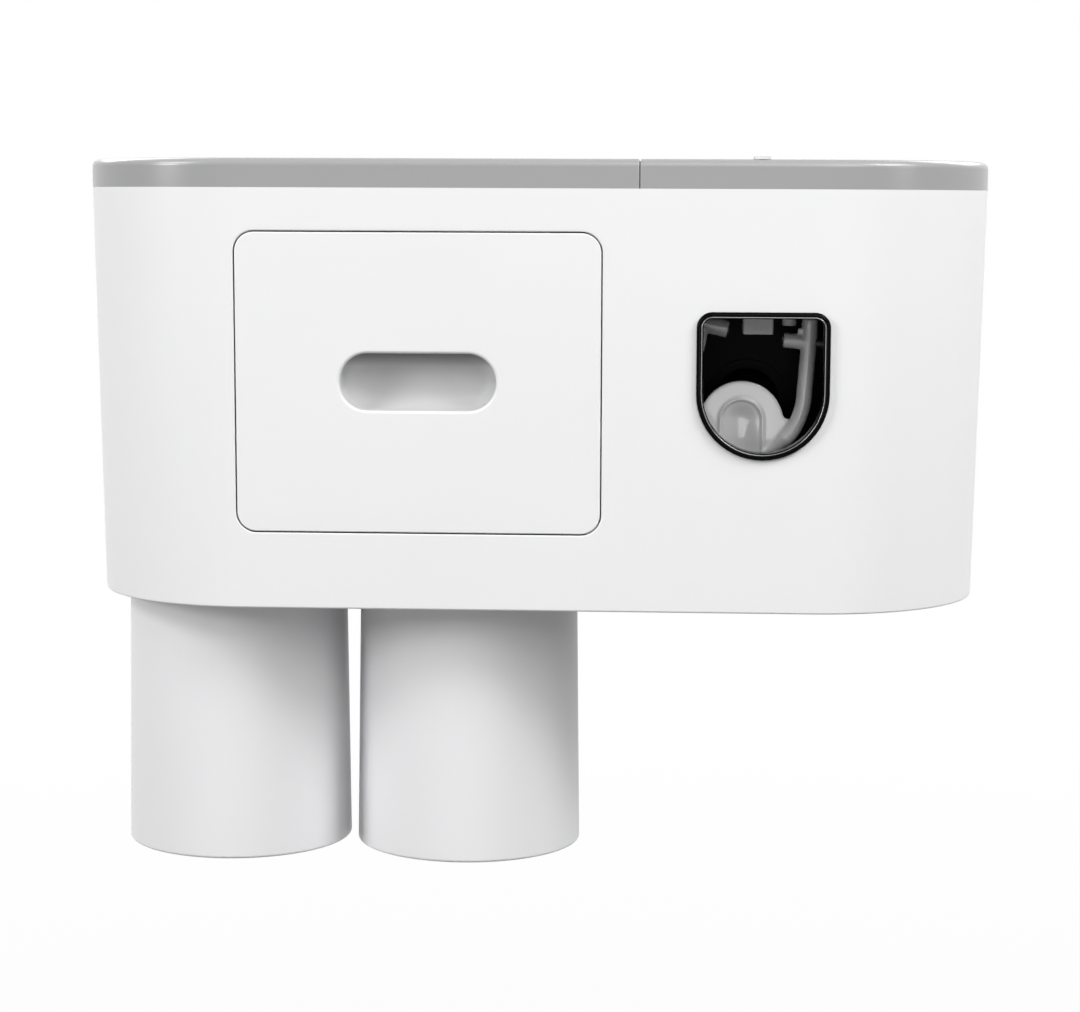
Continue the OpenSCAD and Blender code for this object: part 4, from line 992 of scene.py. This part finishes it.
bulb_profile[:, 1] = bulb_high[1] - bulb_profile[:, 1]
bulb = build("folded_bulb", [(lathe((bellows_x, 0, bellows_z), bulb_profile, "y"), True)],
             chamber_black)
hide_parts("pump_bellows")
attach(bulb, "casing")
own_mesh(bulb)


# Nozzle: a small grey block under the pump's bridge, square at the front, with the paste's round
# channel down its middle. A round stub of the same grey hangs beside it from the chamber's roof.

NOZZLE_GREY = (0.70, 0.70, 0.705)
NOZZLE_ROUND = 0.0005
NOZZLE_TAPER = 0.8
NOZZLE_BORE = 0.0025
STUB_RADIUS = 0.002
STUB_EDGE = 0.0003
STUB_PLACE = (0.0735, -0.083, 0)
STUB_LOW = -0.0016
nozzle_low, nozzle_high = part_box("nozzle")
nozzle_grey = moulded("grey_nozzle_plastic", NOZZLE_GREY, roughness=0.5, tone=0.02, grain=0.04)


def block_loop(inset, z):
    """The nozzle's outline at height z, taken in by the inset: a box with four round corners."""
    loop = box_loop((nozzle_low[0] + inset, nozzle_low[1] + inset),
                    (nozzle_high[0] - inset, nozzle_high[1] - inset), [NOZZLE_ROUND] * 4,
                    side=8, arc=6)
    return np.column_stack([loop, np.full(len(loop), z)])


nozzle_rows = [block_loop(inward * NOZZLE_TAPER, nozzle_low[2] + down)
               for inward, down in fillet(NOZZLE_ROUND, 4)] + [block_loop(0, nozzle_high[2])]
nozzle_centre = ((nozzle_low[0] + nozzle_high[0]) / 2, (nozzle_low[1] + nozzle_high[1]) / 2, 0)
bore = lathe(nozzle_centre, [(NOZZLE_BORE, nozzle_low[2]), (NOZZLE_BORE, nozzle_high[2])],
             count=48)
nozzle = build("nozzle_block", [(nozzle_rows, True), (bore, True)], nozzle_grey,
               [[nozzle_rows[0], bore[0]], [nozzle_rows[-1], bore[1]]])
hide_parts("nozzle")
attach(nozzle, "casing")

stub_top = chamber_high[2] - CHAMBER_WALL / 2
stub = lathe(STUB_PLACE, [(0, STUB_LOW), (STUB_RADIUS - STUB_EDGE, STUB_LOW),
                          (STUB_RADIUS, STUB_LOW + STUB_EDGE), (STUB_RADIUS, stub_top),
                          (0, stub_top)], count=48)
drip_stub = build("drip_stub", [(stub, True)], nozzle_grey)
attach(drip_stub, "casing")


# Silicone of the pump: its two valves, the plugs that close its drilled channels, and the sleeve
# that grips the tube's neck. They are soft and milky, and each is pushed into its seat.

SILICONE = (0.60, 0.60, 0.61)
silicone = moulded("milky_silicone", SILICONE, roughness=0.48, tone=0.03, grain=0.06)
tune(silicone, {"Subsurface Weight": 0.25, "Subsurface Scale": 0.002})
finish(silicone, "inlet_valve", "outlet_valve", "channel_plugs", "tube_sleeve")


# Lifting tab: a small tongue of clear plastic, stuck flat on the lid's front edge for a fingertip
# to lift the lid by.

TAB_TINT = (0.95, 0.955, 0.955)
clear_tab = moulded("clear_tab_plastic", TAB_TINT, roughness=0.22, tone=0.0, grain=0.02)
tune(clear_tab, {"Transmission Weight": 0.5, "IOR": 1.2})
finish(clear_tab, "lid_tab")


# Two cups: white satin beakers that hang mouth down from a magnet over each seat. The steel disc
# that the magnet holds lies in a pocket of the closed end.

CUP_WHITE = (0.80, 0.80, 0.81)
CUP_BASE = 0.03265
CUP_MOUTH = 0.0337
CUP_WALL = 0.0018
CUP_EDGE = 0.003
DISC_POCKET = 0.01205
DISC_DEPTH = 0.0014
cup_white = moulded("white_cup_plastic", CUP_WHITE, roughness=0.42, tone=0.01, grain=0.03)
for body, node, x, (low, high) in zip(("cup_left", "cup_right"), ("left_cup", "right_cup"), CUPS_X,
                                      cup_boxes):
    rim = CUP_WALL / 2
    top, inner_top = high[2], high[2] - 2 * CUP_WALL
    profile = [(0, top - DISC_DEPTH), (DISC_POCKET, top - DISC_DEPTH), (DISC_POCKET, top)]
    profile += [(CUP_BASE - inward, top - down) for inward, down in fillet(CUP_EDGE, 10)]
    profile += [(CUP_BASE + (CUP_MOUTH - CUP_BASE) * s, (top - CUP_EDGE) * (1 - s)
                 + (low[2] + rim) * s) for s in np.linspace(0, 1, 24)[1:]]
    profile += [(CUP_MOUTH - rim + rim * math.cos(a), low[2] + rim - rim * math.sin(a))
                for a in np.linspace(0, math.pi, 11)[1:]]
    profile += [(CUP_BASE - CUP_WALL - inward, inner_top - down)
                for inward, down in fillet(CUP_EDGE, 10)[::-1]] + [(0, inner_top)]
    cup = build(node.replace("cup", "beaker"), [(lathe((x, CUPS_Y, 0), profile, count=160), True)],
                cup_white)
    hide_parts(node)
    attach(cup, body)
